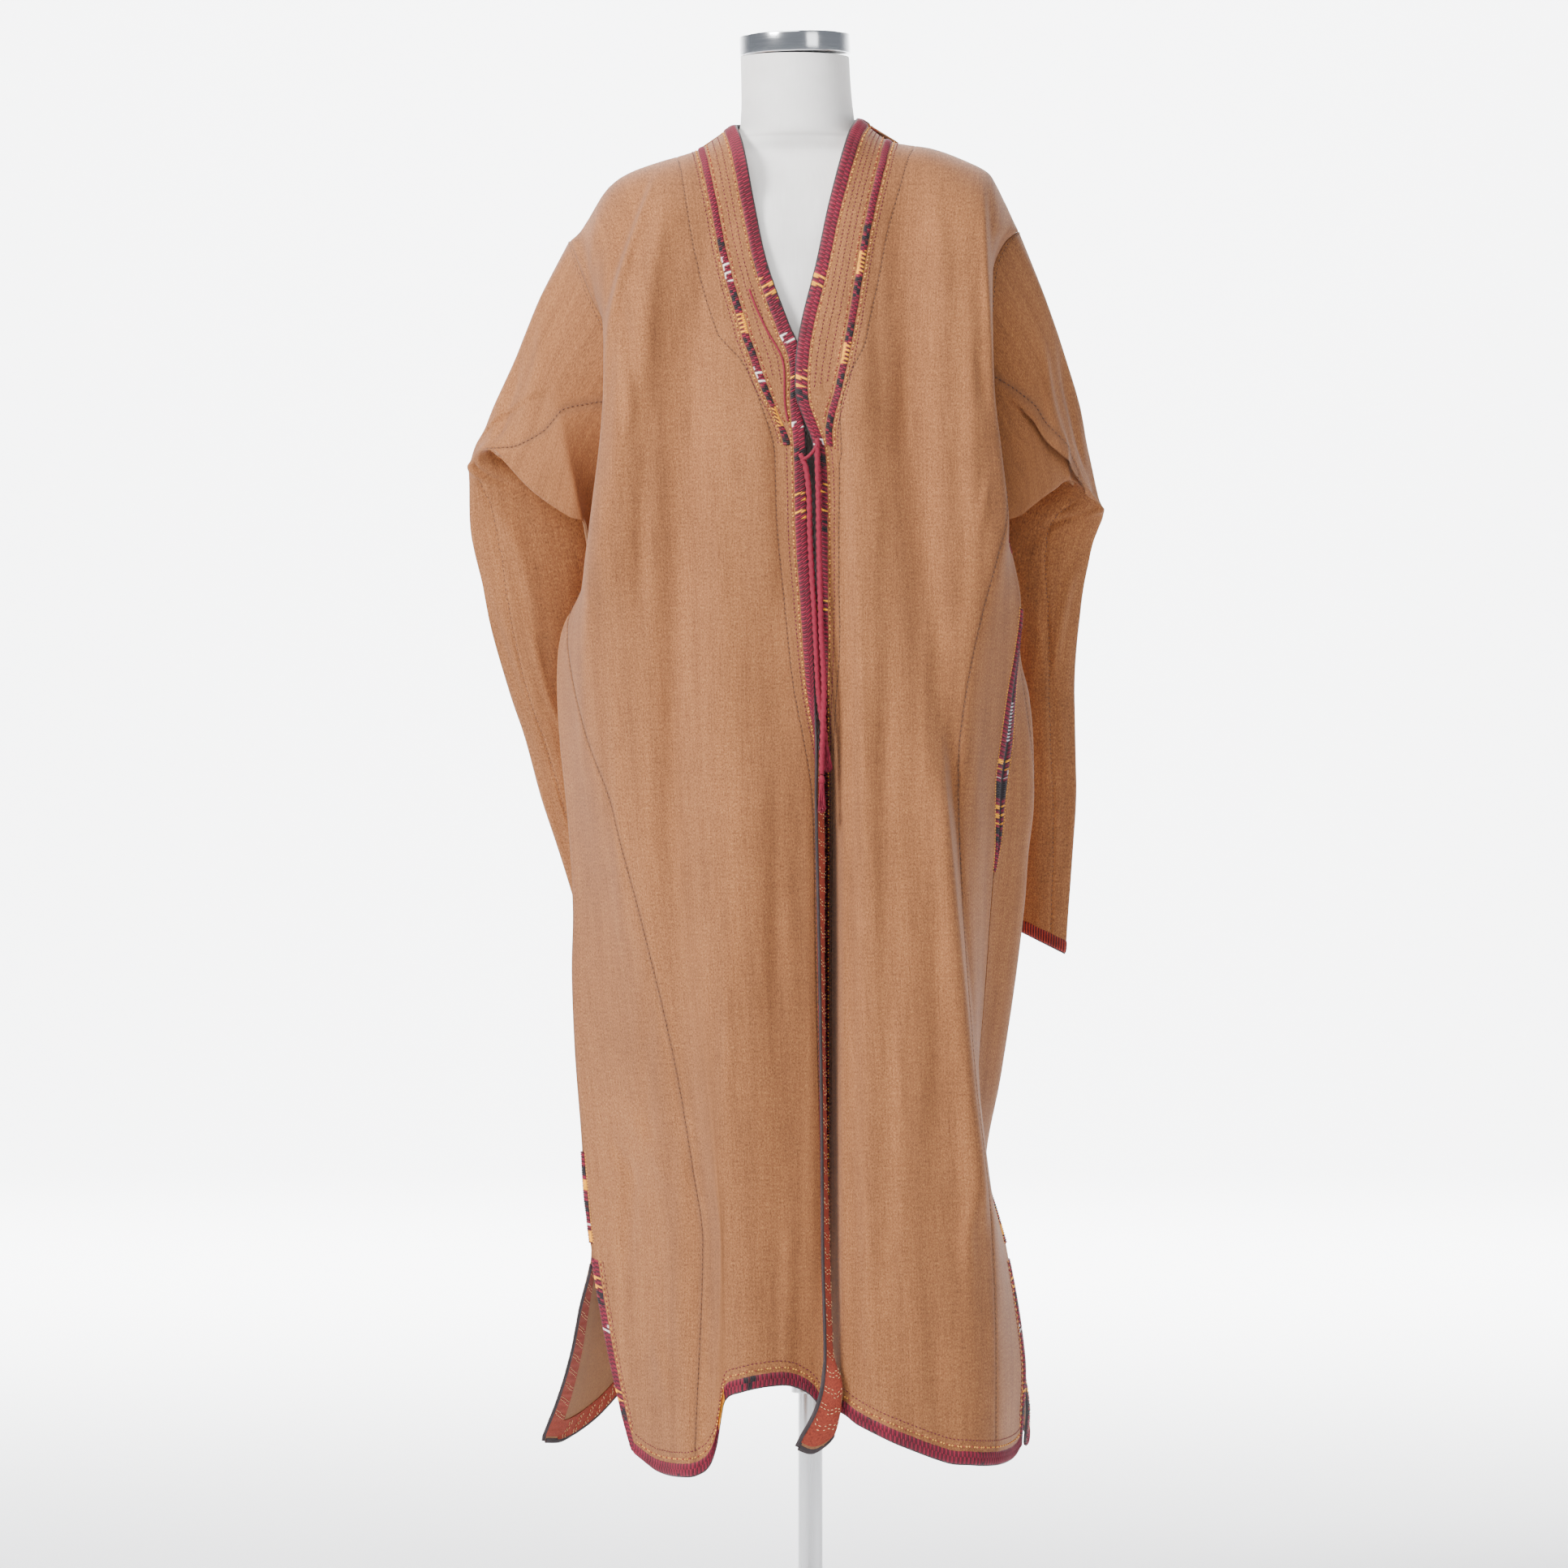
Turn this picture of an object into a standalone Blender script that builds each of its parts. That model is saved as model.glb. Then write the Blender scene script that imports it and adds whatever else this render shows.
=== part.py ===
"""A camel wool chapan coat, worn open on a limbless linen dress form with a pole and a round base.

Sizes are in millimetres and meshes in metres. +Z is up, the front of the coat faces -Y, and the origin is the
centre of the base's underside. Right and left are the wearer's, so the right front lies at -X.
"""

import math
from bisect import bisect_right

import bmesh
import bpy
from mathutils import Matrix, Vector

for old in list(bpy.data.objects):
    bpy.data.objects.remove(old, do_unlink=True)

MM = 0.001
WALL = 1.4  # the woven cloth
SEAM = 0.3  # half of the gap between two sewn pieces
LIFT = 0.45  # a trim's underside above the cloth
BRAID = 1.5  # thickness of the braids and bindings
EDGE_BRAID = 10.0  # width of the braid on the front edges
SECOND_BRAID = 6.0  # width of the inner braid beside the neck
HEM_BINDING = 10.0
FACING = 21.0  # width of the red facings
SLIT_TOP = 396.0  # where the side seams end and the slits begin
ROLL = 62.0  # how far below the shoulder line the cloth has turned down
ROWS = 32
CORD_D = 4.4
POLE_R = 11.5
BASE_R = 185.0
BASE_H = 10.0

# Guide lines of the fronts, each a share of the panel's width, then rows of height z, place x and depth y.
# The fold is where the panel's edge turns, the ridge is its big outer fold, and the side is armhole and side seam.
FRONT = {
    "right": {
        "edge": (0.0, ((1463, -73, -86), (1440, -66, -88), (1383, -55, -92), (1326, -43, -109), (1269, -23, -121),
                       (1238, -11, -127), (1193, -11, -131), (1159, -12, -134), (1070, -11, -139), (1007, -7, -143),
                       (930, -2, -147), (870, 2, -150), (813, 4, -152), (661, 7, -154), (509, 9, -157),
                       (400, 10, -163), (313, 12, -175), (289, 11, -180), (276, 9, -182), (260, 4, -184),
                       (248, -2, -186), (238, -8, -187), (226, -14, -188))),
        "fold": (0.08, ((1463, -88, -82), (1383, -74, -93), (1326, -62, -110), (1269, -42, -122), (1193, -30, -132),
                        (1070, -28, -140), (1007, -20, -143), (930, -11, -144), (870, -1, -143), (813, 6, -142),
                        (661, 10, -144), (509, 12, -147), (400, 15, -152), (313, 18, -164), (301, 21, -167),
                        (289, 26, -170), (276, 28, -171), (260, 26, -171), (240, 21, -172), (224, 14, -173))),
        "turn": (0.13, ((1463, -94, -82), (1383, -80, -93), (1269, -50, -122), (1193, -39, -132), (1070, -37, -141),
                        (930, -22, -146), (870, -14, -147), (813, -7, -147), (661, -4, -149), (509, -2, -152),
                        (400, 0, -155), (313, 3, -158), (289, 6, -158), (270, 5, -159), (240, 1, -160))),
        "middle": (0.45, ((1434, -125, -80), (1383, -120, -93), (1269, -108, -121), (1159, -104, -137),
                          (1007, -98, -148), (813, -92, -158), (661, -84, -163), (509, -77, -166), (357, -72, -168),
                          (200, -70, -170))),
        "ridge": (0.80, ((1429, -150, -76), (1391, -170, -80), (1353, -182, -88), (1315, -188, -97),
                         (1269, -190, -105), (1207, -191, -112), (1161, -194, -116), (1114, -199, -119),
                         (1075, -203, -119), (1036, -206, -112), (980, -203, -104), (908, -197, -101),
                         (812, -185, -104), (710, -160, -118), (583, -130, -137), (470, -110, -148),
                         (414, -102, -152), (213, -108, -158))),
        "side": (1.0, ((1354, -229, -40), (1299, -208, -46), (1265, -191, -52), (1231, -186, -50), (1193, -184, -44),
                       (1150, -188, -36), (1079, -200, -28), (1040, -210, -24), (1032, -213, -23), (1018, -219, -22), (985, -235, -22),
                       (947, -240, -22), (884, -238, -22), (813, -231, -22), (722, -225, -22), (661, -226, -22),
                       (585, -223, -24), (509, -217, -28), (448, -213, -32), (396, -207, -39), (332, -196, -50),
                       (270, -183, -62), (217, -169, -76), (196, -160, -84))),
    },
    "left": {
        "edge": (0.0, ((1469, 47, -86), (1451, 38, -88), (1383, 19, -92), (1326, 7, -110), (1269, -7, -127),
                       (1235, -12, -135), (1200, -12, -139), (1178, -5, -139), (1157, 3, -138), (1117, 6, -138),
                       (1079, 6, -138), (1003, 7, -136), (965, 8, -132), (930, 9, -125), (889, 11, -114),
                       (813, 13, -102), (661, 14, -90), (357, 15, -84), (257, 15, -82))),
        "fold": (0.08, ((1469, 62, -82), (1383, 38, -93), (1326, 26, -111), (1269, 13, -128), (1235, 8, -136),
                        (1200, 8, -140), (1157, 20, -139), (1079, 24, -142), (1003, 26, -145), (930, 30, -149),
                        (813, 31, -152), (509, 30, -158), (357, 30, -161), (257, 28, -163))),
        "middle": (0.45, ((1443, 100, -80), (1383, 96, -93), (1269, 88, -121), (1159, 88, -137), (1007, 96, -148),
                          (813, 98, -158), (661, 104, -164), (509, 112, -168), (357, 118, -170), (200, 120, -172))),
        "ridge": (0.80, ((1410, 160, -76), (1383, 163, -80), (1322, 165, -97), (1208, 168, -112), (1147, 175, -117),
                         (1084, 180, -120), (1050, 174, -124), (997, 160, -128), (930, 146, -132), (863, 138, -136),
                         (761, 140, -138), (659, 146, -140), (558, 154, -142), (491, 162, -140), (433, 168, -136),
                         (327, 172, -134), (207, 172, -136))),
        "side": (1.0, ((1363, 198, -34), (1350, 184, -40), (1322, 172, -46), (1208, 166, -50), (1147, 171, -56),
                       (1084, 182, -66), (1074, 184.5, -67.5), (1036, 194, -72), (1007, 198, -70), (963, 195, -66), (925, 190, -64),
                       (875, 184, -62), (840, 179, -62), (784, 176, -62), (750, 172, -62), (644, 164, -66),
                       (558, 157, -72), (513, 158, -72), (472, 164, -64), (433, 176, -54), (396, 186, -46),
                       (357, 194, -40), (310, 201, -34), (281, 203, -32), (214, 199, -30))),
    },
}
# The shoulder line, from the neck out to the armhole, as rows of x and height.
SHOULDER = {
    "right": ((-229, 1353), (-219, 1362), (-212, 1372), (-205, 1384), (-198, 1395), (-190, 1406), (-172, 1418),
              (-142, 1429), (-118, 1436), (-104, 1441), (-88, 1452), (-73, 1463)),
    "left": ((47, 1469), (60, 1458), (73, 1449), (84, 1446), (116, 1441), (146, 1430), (169, 1418), (176, 1407),
             (182, 1395), (188, 1383), (193, 1372), (198, 1362)),
}
# The hem over the panel's width, as rows of share and height.
HEM = {
    "right": ((0.0, 227), (0.04, 222), (0.08, 234), (0.105, 252), (0.13, 268), (0.18, 279), (0.25, 284),
              (0.42, 278), (0.53, 268), (0.58, 248), (0.62, 228), (0.68, 211), (0.75, 202), (0.85, 197),
              (0.94, 199), (1.0, 214)),
    "left": ((0.0, 259), (0.08, 258), (0.14, 248), (0.3, 229), (0.48, 213), (0.62, 210), (0.84, 207), (0.95, 208),
             (1.0, 215)),
}
# Where the front gore's seam lies, as rows of height and share: it starts as a point on the side seam.
GORE = {
    "right": ((1004, 1.0), (980, 0.955), (884, 0.87), (812, 0.80), (190, 0.80)),
    "left": ((1166, 1.0), (1137, 0.90), (1084, 0.82), (1040, 0.80), (190, 0.80)),
}
# The inner braid beside the neck, as rows of height and x.
BRAID_LINE = {
    "right": ((1443, -104), (1383, -91), (1326, -80), (1269, -64), (1231, -53), (1193, -37), (1159, -21)),
    "left": ((1449, 74), (1383, 58), (1326, 47), (1269, 38), (1231, 31), (1193, 23), (1162, 14)),
}
# Soft folds of the fronts: heights and x of the line's two ends and middle, half width, then how far the cloth
# comes forward on the line and how far it drops back behind a lipped fold.
FOLDS = {
    "right": (
        ("shoulder ridge", 1436, 1052, -122, -166, -194, 20, 6, 0),
        ("long trough", 1330, 205, -116, -124, -92, 24, -8, 0),
        ("edge ridge", 1240, 1040, -44, -46, -42, 20, 4, 0),
        ("centre ridge", 900, 285, -52, -54, -50, 30, 6, 0),
        ("gore ridge", 760, 200, -190, -178, -150, 26, 5, 0),
    ),
    "left": (
        ("inner ridge", 1280, 420, 46, 42, 52, 20, 6, 0),
        ("long trough", 1432, 850, 82, 96, 132, 22, -9, 0),
        ("lapped fold", 900, 470, 119, 139, 162, 16, 9, 9),
        ("middle ridge", 800, 215, 92, 96, 98, 26, 5, 0),
        ("low ridge", 410, 240, 40, 56, 74, 14, 3, 0),
    ),
    "back": (
        ("right back ridge", 1230, 215, -110, -118, -135, 26, 10, 0),
        ("spine trough", 1120, 215, -12, -20, -30, 30, -10, 0),
        ("left back ridge", 1280, 215, 80, 88, 104, 28, 10, 0),
        ("right back trough", 1100, 215, -66, -72, -84, 22, -8, 0),
        ("left back trough", 1000, 215, 38, 44, 50, 22, -7, 0),
    ),
}
# Guide lines of the back, from the right side seam round to the left one.
BACK = (
    (0.0, ((1354, -229, 34), (1299, -216, 38), (1265, -206, 46), (1231, -200, 50), (1193, -197, 48), (1150, -198, 38),
           (1079, -206, 4), (1040, -210, -24), (1032, -213, -23), (1018, -219, -22), (985, -235, -22), (947, -240, -22),
           (884, -238, -22), (813, -231, -22), (722, -225, -22), (661, -226, -22), (585, -223, -24),
           (509, -217, -28), (448, -213, -32), (396, -207, -39), (342, -219, -14), (301, -227, 0), (259, -239, 14),
           (217, -255, 26))),
    (0.1, ((1400, -200, 60), (1354, -214, 64), (1265, -196, 74), (1193, -189, 78), (1079, -192, 62),
           (1018, -199, 36), (947, -214, 22), (884, -216, 22), (813, -212, 22), (661, -207, 22), (509, -200, 24),
           (388, -196, 26), (301, -206, 44), (217, -222, 64))),
    (0.2, ((1417, -168, 66), (1354, -186, 78), (1265, -178, 90), (1193, -172, 94), (1079, -168, 84),
           (1018, -172, 66), (947, -180, 56), (813, -176, 54), (661, -170, 56), (509, -166, 60), (388, -166, 68),
           (217, -178, 92))),
    (0.36, ((1434, -106, 74), (1354, -112, 92), (1265, -108, 108), (1193, -106, 112), (1079, -104, 110),
            (947, -104, 108), (813, -102, 110), (661, -102, 116), (509, -104, 122), (388, -106, 128),
            (217, -112, 136))),
    (0.5, ((1436, -13, 80), (1354, -14, 98), (1265, -14, 112), (1193, -14, 118), (1079, -14, 120), (813, -16, 126),
           (661, -17, 132), (509, -18, 138), (388, -18, 142), (217, -18, 148))),
    (0.64, ((1436, 84, 74), (1354, 84, 92), (1265, 80, 108), (1193, 78, 112), (1079, 78, 110), (947, 78, 108),
            (813, 76, 110), (661, 74, 116), (509, 74, 122), (388, 76, 128), (217, 80, 136))),
    (0.8, ((1420, 142, 66), (1354, 156, 78), (1265, 150, 90), (1193, 146, 94), (1079, 144, 84), (1018, 148, 68),
           (947, 150, 58), (813, 152, 56), (661, 150, 58), (509, 144, 64), (388, 146, 72), (217, 162, 88))),
    (0.9, ((1400, 170, 58), (1363, 181, 60), (1265, 174, 70), (1193, 170, 72), (1147, 172, 64), (1084, 178, 40),
           (1018, 187, 12), (956, 196, -4), (925, 205, -8), (880, 210, -8), (818, 211, -8), (773, 206, -8),
           (729, 203, -8), (653, 194, -10), (562, 180, -14), (471, 164, -14), (400, 176, 4), (320, 190, 14),
           (251, 204, 20), (214, 204, 24))),
    (1.0, ((1363, 198, 30), (1350, 192, 34), (1322, 186, 42), (1265, 181, 48), (1208, 178, 44), (1147, 180, 18),
           (1100, 182, -40), (1084, 182, -66), (1074, 184.5, -67.5), (1036, 194, -72), (1007, 198, -70), (963, 195, -66), (925, 190, -64),
           (875, 184, -62), (840, 179, -62), (784, 176, -62), (750, 172, -62), (644, 164, -66), (558, 157, -72),
           (513, 158, -72), (472, 164, -64), (433, 176, -54), (396, 186, -46), (357, 190, -30), (310, 198, -20),
           (251, 206, -12), (214, 204, -10))),
)
BACK_NECK = ((0.36, 1440), (0.42, 1436), (0.5, 1434), (0.58, 1439), (0.64, 1446))
BACK_HEM = ((0.0, 214), (0.06, 214), (0.13, 232), (0.22, 276), (0.32, 298), (0.5, 304), (0.68, 298), (0.8, 270),
            (0.9, 226), (0.95, 214), (1.0, 215))
BACK_GORE = {"right": ((1004, 0.0), (900, 0.06), (813, 0.1), (509, 0.15), (190, 0.2)),
             "left": ((1060, 1.0), (900, 0.94), (813, 0.9), (509, 0.85), (190, 0.8))}
UNDERARM = {"right": 1046.0, "left": 1086.0}

# Sleeve sections, from the armhole down to the cuff: outer point, inner point, then the fullness of the front
# and of the back. The fourth to eighth rows turn about the tuck at the elbow.
SLEEVE = {
    "right": (
        (-229, 0, 1354, -212, -22, 1046, 24, 24),
        (-257, -4, 1298, -213, -52, 1083, 22, 44),
        (-276, -4, 1252, -228, -56, 1091, 18, 48),
        (-295, -2, 1206, -258, -50, 1111, 14, 36),
        (-307, 2, 1179, -281, -42, 1134, 10, 28),
        (-318, 8, 1160, -297, -30, 1152, 8, 27),
        (-324, 17, 1142, -300, 2, 1152, 10, 24),
        (-325, 26, 1124, -281, 17, 1141, 12, 22),
        (-325, 31, 1102, -245, 26, 1127, 14, 20),
        (-323, 37, 1075, -221, 32, 1101, 15, 20),
        (-316, 42, 1035, -221, 38, 1040, 16, 22),
        (-306, 48, 988, -228, 46, 988, 16, 22),
        (-288, 56, 927, -225, 58, 927, 16, 20),
        (-272, 62, 881, -214, 68, 881, 16, 18),
        (-252, 70, 813, -198, 80, 813, 15, 17),
        (-232, 80, 745, -182, 92, 745, 14, 16),
        (-212, 90, 676, -166, 104, 684, 13, 14),
    ),
    "left": (
        (198, 0, 1363, 182, -62, 1086, 20, 30),
        (223, -4, 1298, 198, -60, 1091, 18, 44),
        (239, -4, 1252, 206, -58, 1098, 18, 46),
        (253, -2, 1201, 223, -52, 1111, 14, 34),
        (264, 4, 1154, 235, -42, 1120, 10, 25),
        (273, 10, 1112, 241, -28, 1128, 8, 24),
        (279, 18, 1098, 243, -2, 1125, 10, 25),
        (275, 28, 1083, 230, 20, 1113, 12, 22),
        (269, 35, 1066, 203, 31, 1099, 14, 20),
        (264, 43, 1043, 195, 43, 1062, 15, 20),
        (259, 50, 1012, 196, 52, 1016, 16, 22),
        (255, 58, 970, 195, 62, 970, 16, 20),
        (253, 64, 925, 194, 70, 925, 16, 20),
        (253, 68, 870, 191, 76, 870, 16, 18),
        (253, 72, 813, 190, 80, 813, 15, 18),
        (250, 76, 748, 190, 84, 748, 14, 16),
        (245, 80, 678, 192, 88, 704, 13, 14),
    ),
}
GUSSET_END = 4.5  # the section where the gusset comes to its point
GUSSET = (0.25, 0.75)

# The form's sections: height, half width, half depth and the place of the middle.
FORM = (
    (1528, 51.5, 51.5, -14.8, 2), (1500, 52, 52, -13.6, 2), (1474, 53.5, 53.5, -12.4, 2), (1456, 57, 55, -12, 1),
    (1446, 70, 51, -12, 0), (1436, 89, 48, -12, 0), (1424, 121.5, 52.5, -12, 0), (1412, 156, 62, -12, 0),
    (1400, 170, 70, -12, 0), (1384, 172, 80, -12, 0), (1350, 164, 92, -12, 0), (1300, 156, 100, -12, 0),
    (1240, 152, 104, -12, 0), (1150, 138, 92, -11, 0), (1050, 124, 82, -9, 0), (950, 142, 94, -6, 0),
    (860, 150, 98, -3, 0), (800, 146, 94, -1, 0), (780, 128, 82, 0, 0),
)
CAP = {"z": 1528.6, "height": 19.0, "radius": 52.4, "x": -14.8, "tilt": math.radians(-1.6)}

# The tie cords' routes, as rows of x, y and z, with the tassels at their ends.
TIES = {
    "right": ((-10, -139.4, 1146), (-5, -141.5, 1134), (-2, -144, 1110), (-1, -145, 1071), (1, -147, 1030),
              (3, -149, 1000), (5, -151, 960), (7, -152, 925), (10, -153, 900), (13, -153.5, 888)),
    "left": ((6, -143, 1160), (6, -145, 1140), (7, -147, 1100), (7.5, -149, 1060), (8.5, -151.5, 1020),
             (9.5, -154.5, 980), (12, -157.5, 930), (11, -160, 890), (10, -160, 860), (10, -160, 848)),
}

COLOURS = {
    "wool": ((0.47, 0.24, 0.12), 0.9, 0.0),
    "crimson": ((0.28, 0.01, 0.04), 0.75, 0.0),
    "facing": ((0.42, 0.07, 0.035), 0.85, 0.0),
    "linen": ((0.80, 0.77, 0.72), 0.85, 0.0),
    "chrome": ((0.75, 0.76, 0.78), 0.12, 1.0),
    "steel": ((0.62, 0.62, 0.63), 0.3, 1.0),
}


def hermite(xs, ys, x):
    """A smooth curve through the points, held level past its ends."""
    if x <= xs[0]:
        return ys[0]
    if x >= xs[-1]:
        return ys[-1]
    i = bisect_right(xs, x) - 1
    h = xs[i + 1] - xs[i]
    step = (ys[i + 1] - ys[i]) / h

    def slope(k):
        a, b = max(k - 1, 0), min(k + 1, len(xs) - 1)
        return (ys[b] - ys[a]) / (xs[b] - xs[a])

    m0 = slope(i)
    m1 = slope(i + 1)
    t = (x - xs[i]) / h
    return ys[i] + h * t * (m0 + t * (3 * step - 2 * m0 - m1 + t * (m0 + m1 - 2 * step)))


TRACKS = {}


def track(rows, x, column):
    """A column of a table at x, which is the table's first column."""
    key = (id(rows), column)
    if key not in TRACKS:
        ordered = sorted(rows, key=lambda row: row[0])
        TRACKS[key] = ([row[0] for row in ordered], [row[column] for row in ordered])
    return hermite(*TRACKS[key], x)


def ease(t):
    t = min(max(t, 0.0), 1.0)
    return t * t * (3 - 2 * t)


def fold_depth(side, x, z):
    """How far the folds move the cloth back, along +Y for the fronts."""
    moved = 0.0
    for _, high, low, x_high, x_mid, x_low, wide, forward, drop in FOLDS[side]:
        if not low - 60 < z < high + 10:
            continue
        t = (high - z) / (high - low)
        line = hermite([0, 0.5, 1], [x_high, x_mid, x_low], t)
        strength = ease((high - z) / 90) * ease((z - low + 60) / 60 if low > 300 else 1)
        off = (x - line) * (1 if side != "right" else -1)
        if drop and off > 0:
            moved += strength * (drop * math.exp(-off / wide) * ease(off / 8) - forward * (1 - ease(off / 8)))
        else:
            moved -= strength * forward * math.exp(-((off / wide) ** 2))
    return moved


def across(guides, u, z):
    places = [g[0] for g in guides]
    x = hermite(places, [track(g[1], z, 1) for g in guides], u)
    y = hermite(places, [track(g[1], z, 2) for g in guides], u)
    return x, y


SHOULDER_TOP = {}


def shoulder_top(kind, u):
    """The height at which a panel's line u meets the shoulder line."""
    if kind not in SHOULDER_TOP:
        rows = []
        for i in range(51):
            share = i / 50
            guides = BACK if kind == "back" else tuple(FRONT[kind].values())
            side = kind if kind != "back" else ("right" if share < 0.5 else "left")
            high = 1420.0
            for _ in range(40):
                x, _y = across(guides, share, high)
                high += 0.5 * (track(SHOULDER[side], x, 1) - high)
            if kind == "back" and 0.36 < share < 0.64:
                high = 1440 + 22 * math.sin(math.pi * (share - 0.36) / 0.28) + 6 * (share - 0.36) / 0.28
            rows.append((share, high))
        SHOULDER_TOP[kind] = tuple(rows)
    return track(SHOULDER_TOP[kind], u, 1)


def rolled(y, top, z):
    """The depth y, turned over the shoulder line at height top."""
    r = min(max((top - z) / ROLL, 0.0), 1.0)
    return y * math.sqrt(1 - (1 - r) ** 2)


def front(side, u, z):
    guides = tuple(FRONT[side].values())
    x, y = across(guides, u, z)
    if u < 0.9:
        y += fold_depth(side, x, z) * (1 - ease((u - 0.75) / 0.15)) * ease((u - 0.1) / 0.08)
    return Vector((x, rolled(y, shoulder_top(side, u), z), z))


def back(u, z):
    x, y = across(BACK, u, z)
    if 0.1 < u < 0.9:
        y -= fold_depth("back", x, z) * ease((u - 0.1) / 0.1) * ease((0.9 - u) / 0.1)
    return Vector((x, rolled(y, shoulder_top("back", u), z), z))


def facing_out(surface, u, z, sign):
    """The surface's outward direction."""
    du = surface(min(u + 0.004, 1.0), z) - surface(max(u - 0.004, 0.0), z)
    dz = surface(u, z + 1.0) - surface(u, z - 1.0)
    return du.cross(dz).normalized() * sign


def seam_out(side, z):
    """The direction that front and back share on the side seam."""
    sign = -1 if side == "right" else 1
    ahead = facing_out(lambda u, h: front(side, u, h), 1.0, z, sign)
    behind = facing_out(back, 0.0 if side == "right" else 1.0, z, -1)
    return (ahead + behind).normalized()


def front_out(side, u, z):
    sign = -1 if side == "right" else 1
    out = facing_out(lambda a, h: front(side, a, h), u, z, sign)
    if z > shoulder_top(side, u) - 0.1:
        return Vector((out.x, 0, out.z)).normalized()
    share = ease((u - 0.93) / 0.07)
    if share > 0 and SLIT_TOP - 45 < z < UNDERARM[side] + 4:
        out = (out * (1 - share) + seam_out(side, z) * share).normalized()
    return out


def back_out(u, z):
    out = facing_out(back, u, z, -1)
    if z > shoulder_top("back", u) - 0.1:
        return Vector((out.x, 0, out.z)).normalized()
    side = "right" if u < 0.5 else "left"
    share = ease((0.06 - min(u, 1 - u)) / 0.06)
    if share > 0 and SLIT_TOP - 45 < z < UNDERARM[side] + 4:
        out = (out * (1 - share) + seam_out(side, z) * share).normalized()
    return out


def row_line(place, u0, u1, count=70):
    """Points along a row, with their shares and their distance along it."""
    shares = [u0 + (u1 - u0) * i / count for i in range(count + 1)]
    points = [place(u) for u in shares]
    run = [0.0]
    for a, b in zip(points, points[1:]):
        run.append(run[-1] + (b - a).length)
    return shares, points, run


def share_at(run, shares, distance):
    distance = min(max(distance, 0.0), run[-1])
    i = min(bisect_right(run, distance), len(run) - 1)
    t = (distance - run[i - 1]) / max(run[i] - run[i - 1], 1e-9)
    return shares[i - 1] + (shares[i] - shares[i - 1]) * t


def row_height(top, hem, k, count=ROWS, power=1.3):
    top -= 0.0012
    return top + (hem - top) * (k / count) ** power


def gore_share(place, height, table, edge):
    """Where the gore's seam crosses a row, as a share; a gore under 6 mm wide isn't there yet."""
    limit = edge
    for _ in range(4):
        limit = track(table, height(limit), 1)
    shares, _, run = row_line(place, min(limit, edge), max(limit, edge), 30)
    return limit if run[-1] >= 6.0 else None


def gore_seams(lines, table, edge):
    """The gore seam's share in each row. The row above the gore's first gives it a 2 mm wide point."""
    found = [gore_share(place, height, table, edge) for place, height in lines]
    for k, limit in enumerate(found):
        if limit is None and k + 1 < len(found) and found[k + 1] is not None:
            place = lines[k][0]
            shares, _, run = row_line(place, edge - 0.1 if edge else 0.0, edge if edge else 0.1, 60)
            found[k] = share_at(run, shares, run[-1] - 2.0 if edge else 2.0)
    return found


def front_lines(side):
    """For each row, the function that places it and the one that gives its height."""
    lines = []
    for k in range(ROWS + 1):
        def height(u, k=k):
            return row_height(shoulder_top(side, u), track(HEM[side], u, 1), k)

        def place(u, height=height):
            return front(side, u, height(u))

        lines.append((place, height))
    return lines


def braid_place(side, points, run):
    """How far along a row the inner braid lies; below its end the column stays 24 mm in."""
    if points[0].z < 1100:
        return 24.0
    found = 14.5
    before = None
    for i, p in enumerate(points[:45]):
        past = abs(p.x - points[0].x) - abs(track(BRAID_LINE[side], p.z, 1) - points[0].x)
        if before is not None and before < 0 <= past:
            found = run[i - 1] + (run[i] - run[i - 1]) * before / (before - past)
            break
        before = past
    return max(14.5, found)


def front_rows(side, columns):
    """The front panel's rows. Its first columns are the edge, the edge braid's side and the inner braid."""
    rows = []
    lines = front_lines(side)
    seams = gore_seams(lines, GORE[side], 1.0)
    for (place, height), seam in zip(lines, seams):
        limit = 1.0 if seam is None else seam
        shares, points, run = row_line(place, 0.0, limit)
        inner = braid_place(side, points, run)
        stops = [0.0, EDGE_BRAID + 0.5, inner]
        last = run[-1] - SEAM
        stops += [inner + (last - inner) * c / columns for c in range(1, columns + 1)]
        row = []
        for d in stops:
            u = share_at(run, shares, d)
            row.append((place(u), front_out(side, u, height(u))))
        rows.append(row)
    return rows


def gore_rows(side, columns):
    rows = []
    lines = front_lines(side)
    for (place, height), seam in zip(lines, gore_seams(lines, GORE[side], 1.0)):
        if seam is None:
            continue
        shares, _, run = row_line(place, seam, 1.0)
        row = []
        for c in range(columns + 1):
            u = share_at(run, shares, SEAM + (run[-1] - 2 * SEAM) * c / columns)
            row.append((place(u), front_out(side, u, height(u))))
        rows.append(row)
    return rows


def back_rows(piece, columns):
    rows = []
    lines = []
    for k in range(ROWS + 1):
        def height(u, k=k):
            top = track(BACK_NECK, u, 1) if 0.36 < u < 0.64 else shoulder_top("back", u)
            return row_height(top, track(BACK_HEM, u, 1), k)

        def place(u, height=height):
            return back(u, height(u))

        lines.append((place, height))
    rights = gore_seams(lines, BACK_GORE["right"], 0.0)
    lefts = gore_seams(lines, BACK_GORE["left"], 1.0)
    for (place, height), right, left in zip(lines, rights, lefts):
        if piece != "back" and (right if piece == "right" else left) is None:
            continue
        ends = {"back": (right or 0.0, 1.0 if left is None else left), "right": (0.0, right), "left": (left, 1.0)}
        shares, _, run = row_line(place, *ends[piece], 100)
        row = []
        for c in range(columns + 1):
            u = share_at(run, shares, SEAM + (run[-1] - 2 * SEAM) * c / columns)
            row.append((place(u), back_out(u, height(u))))
        rows.append(row)
    return rows


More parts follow.
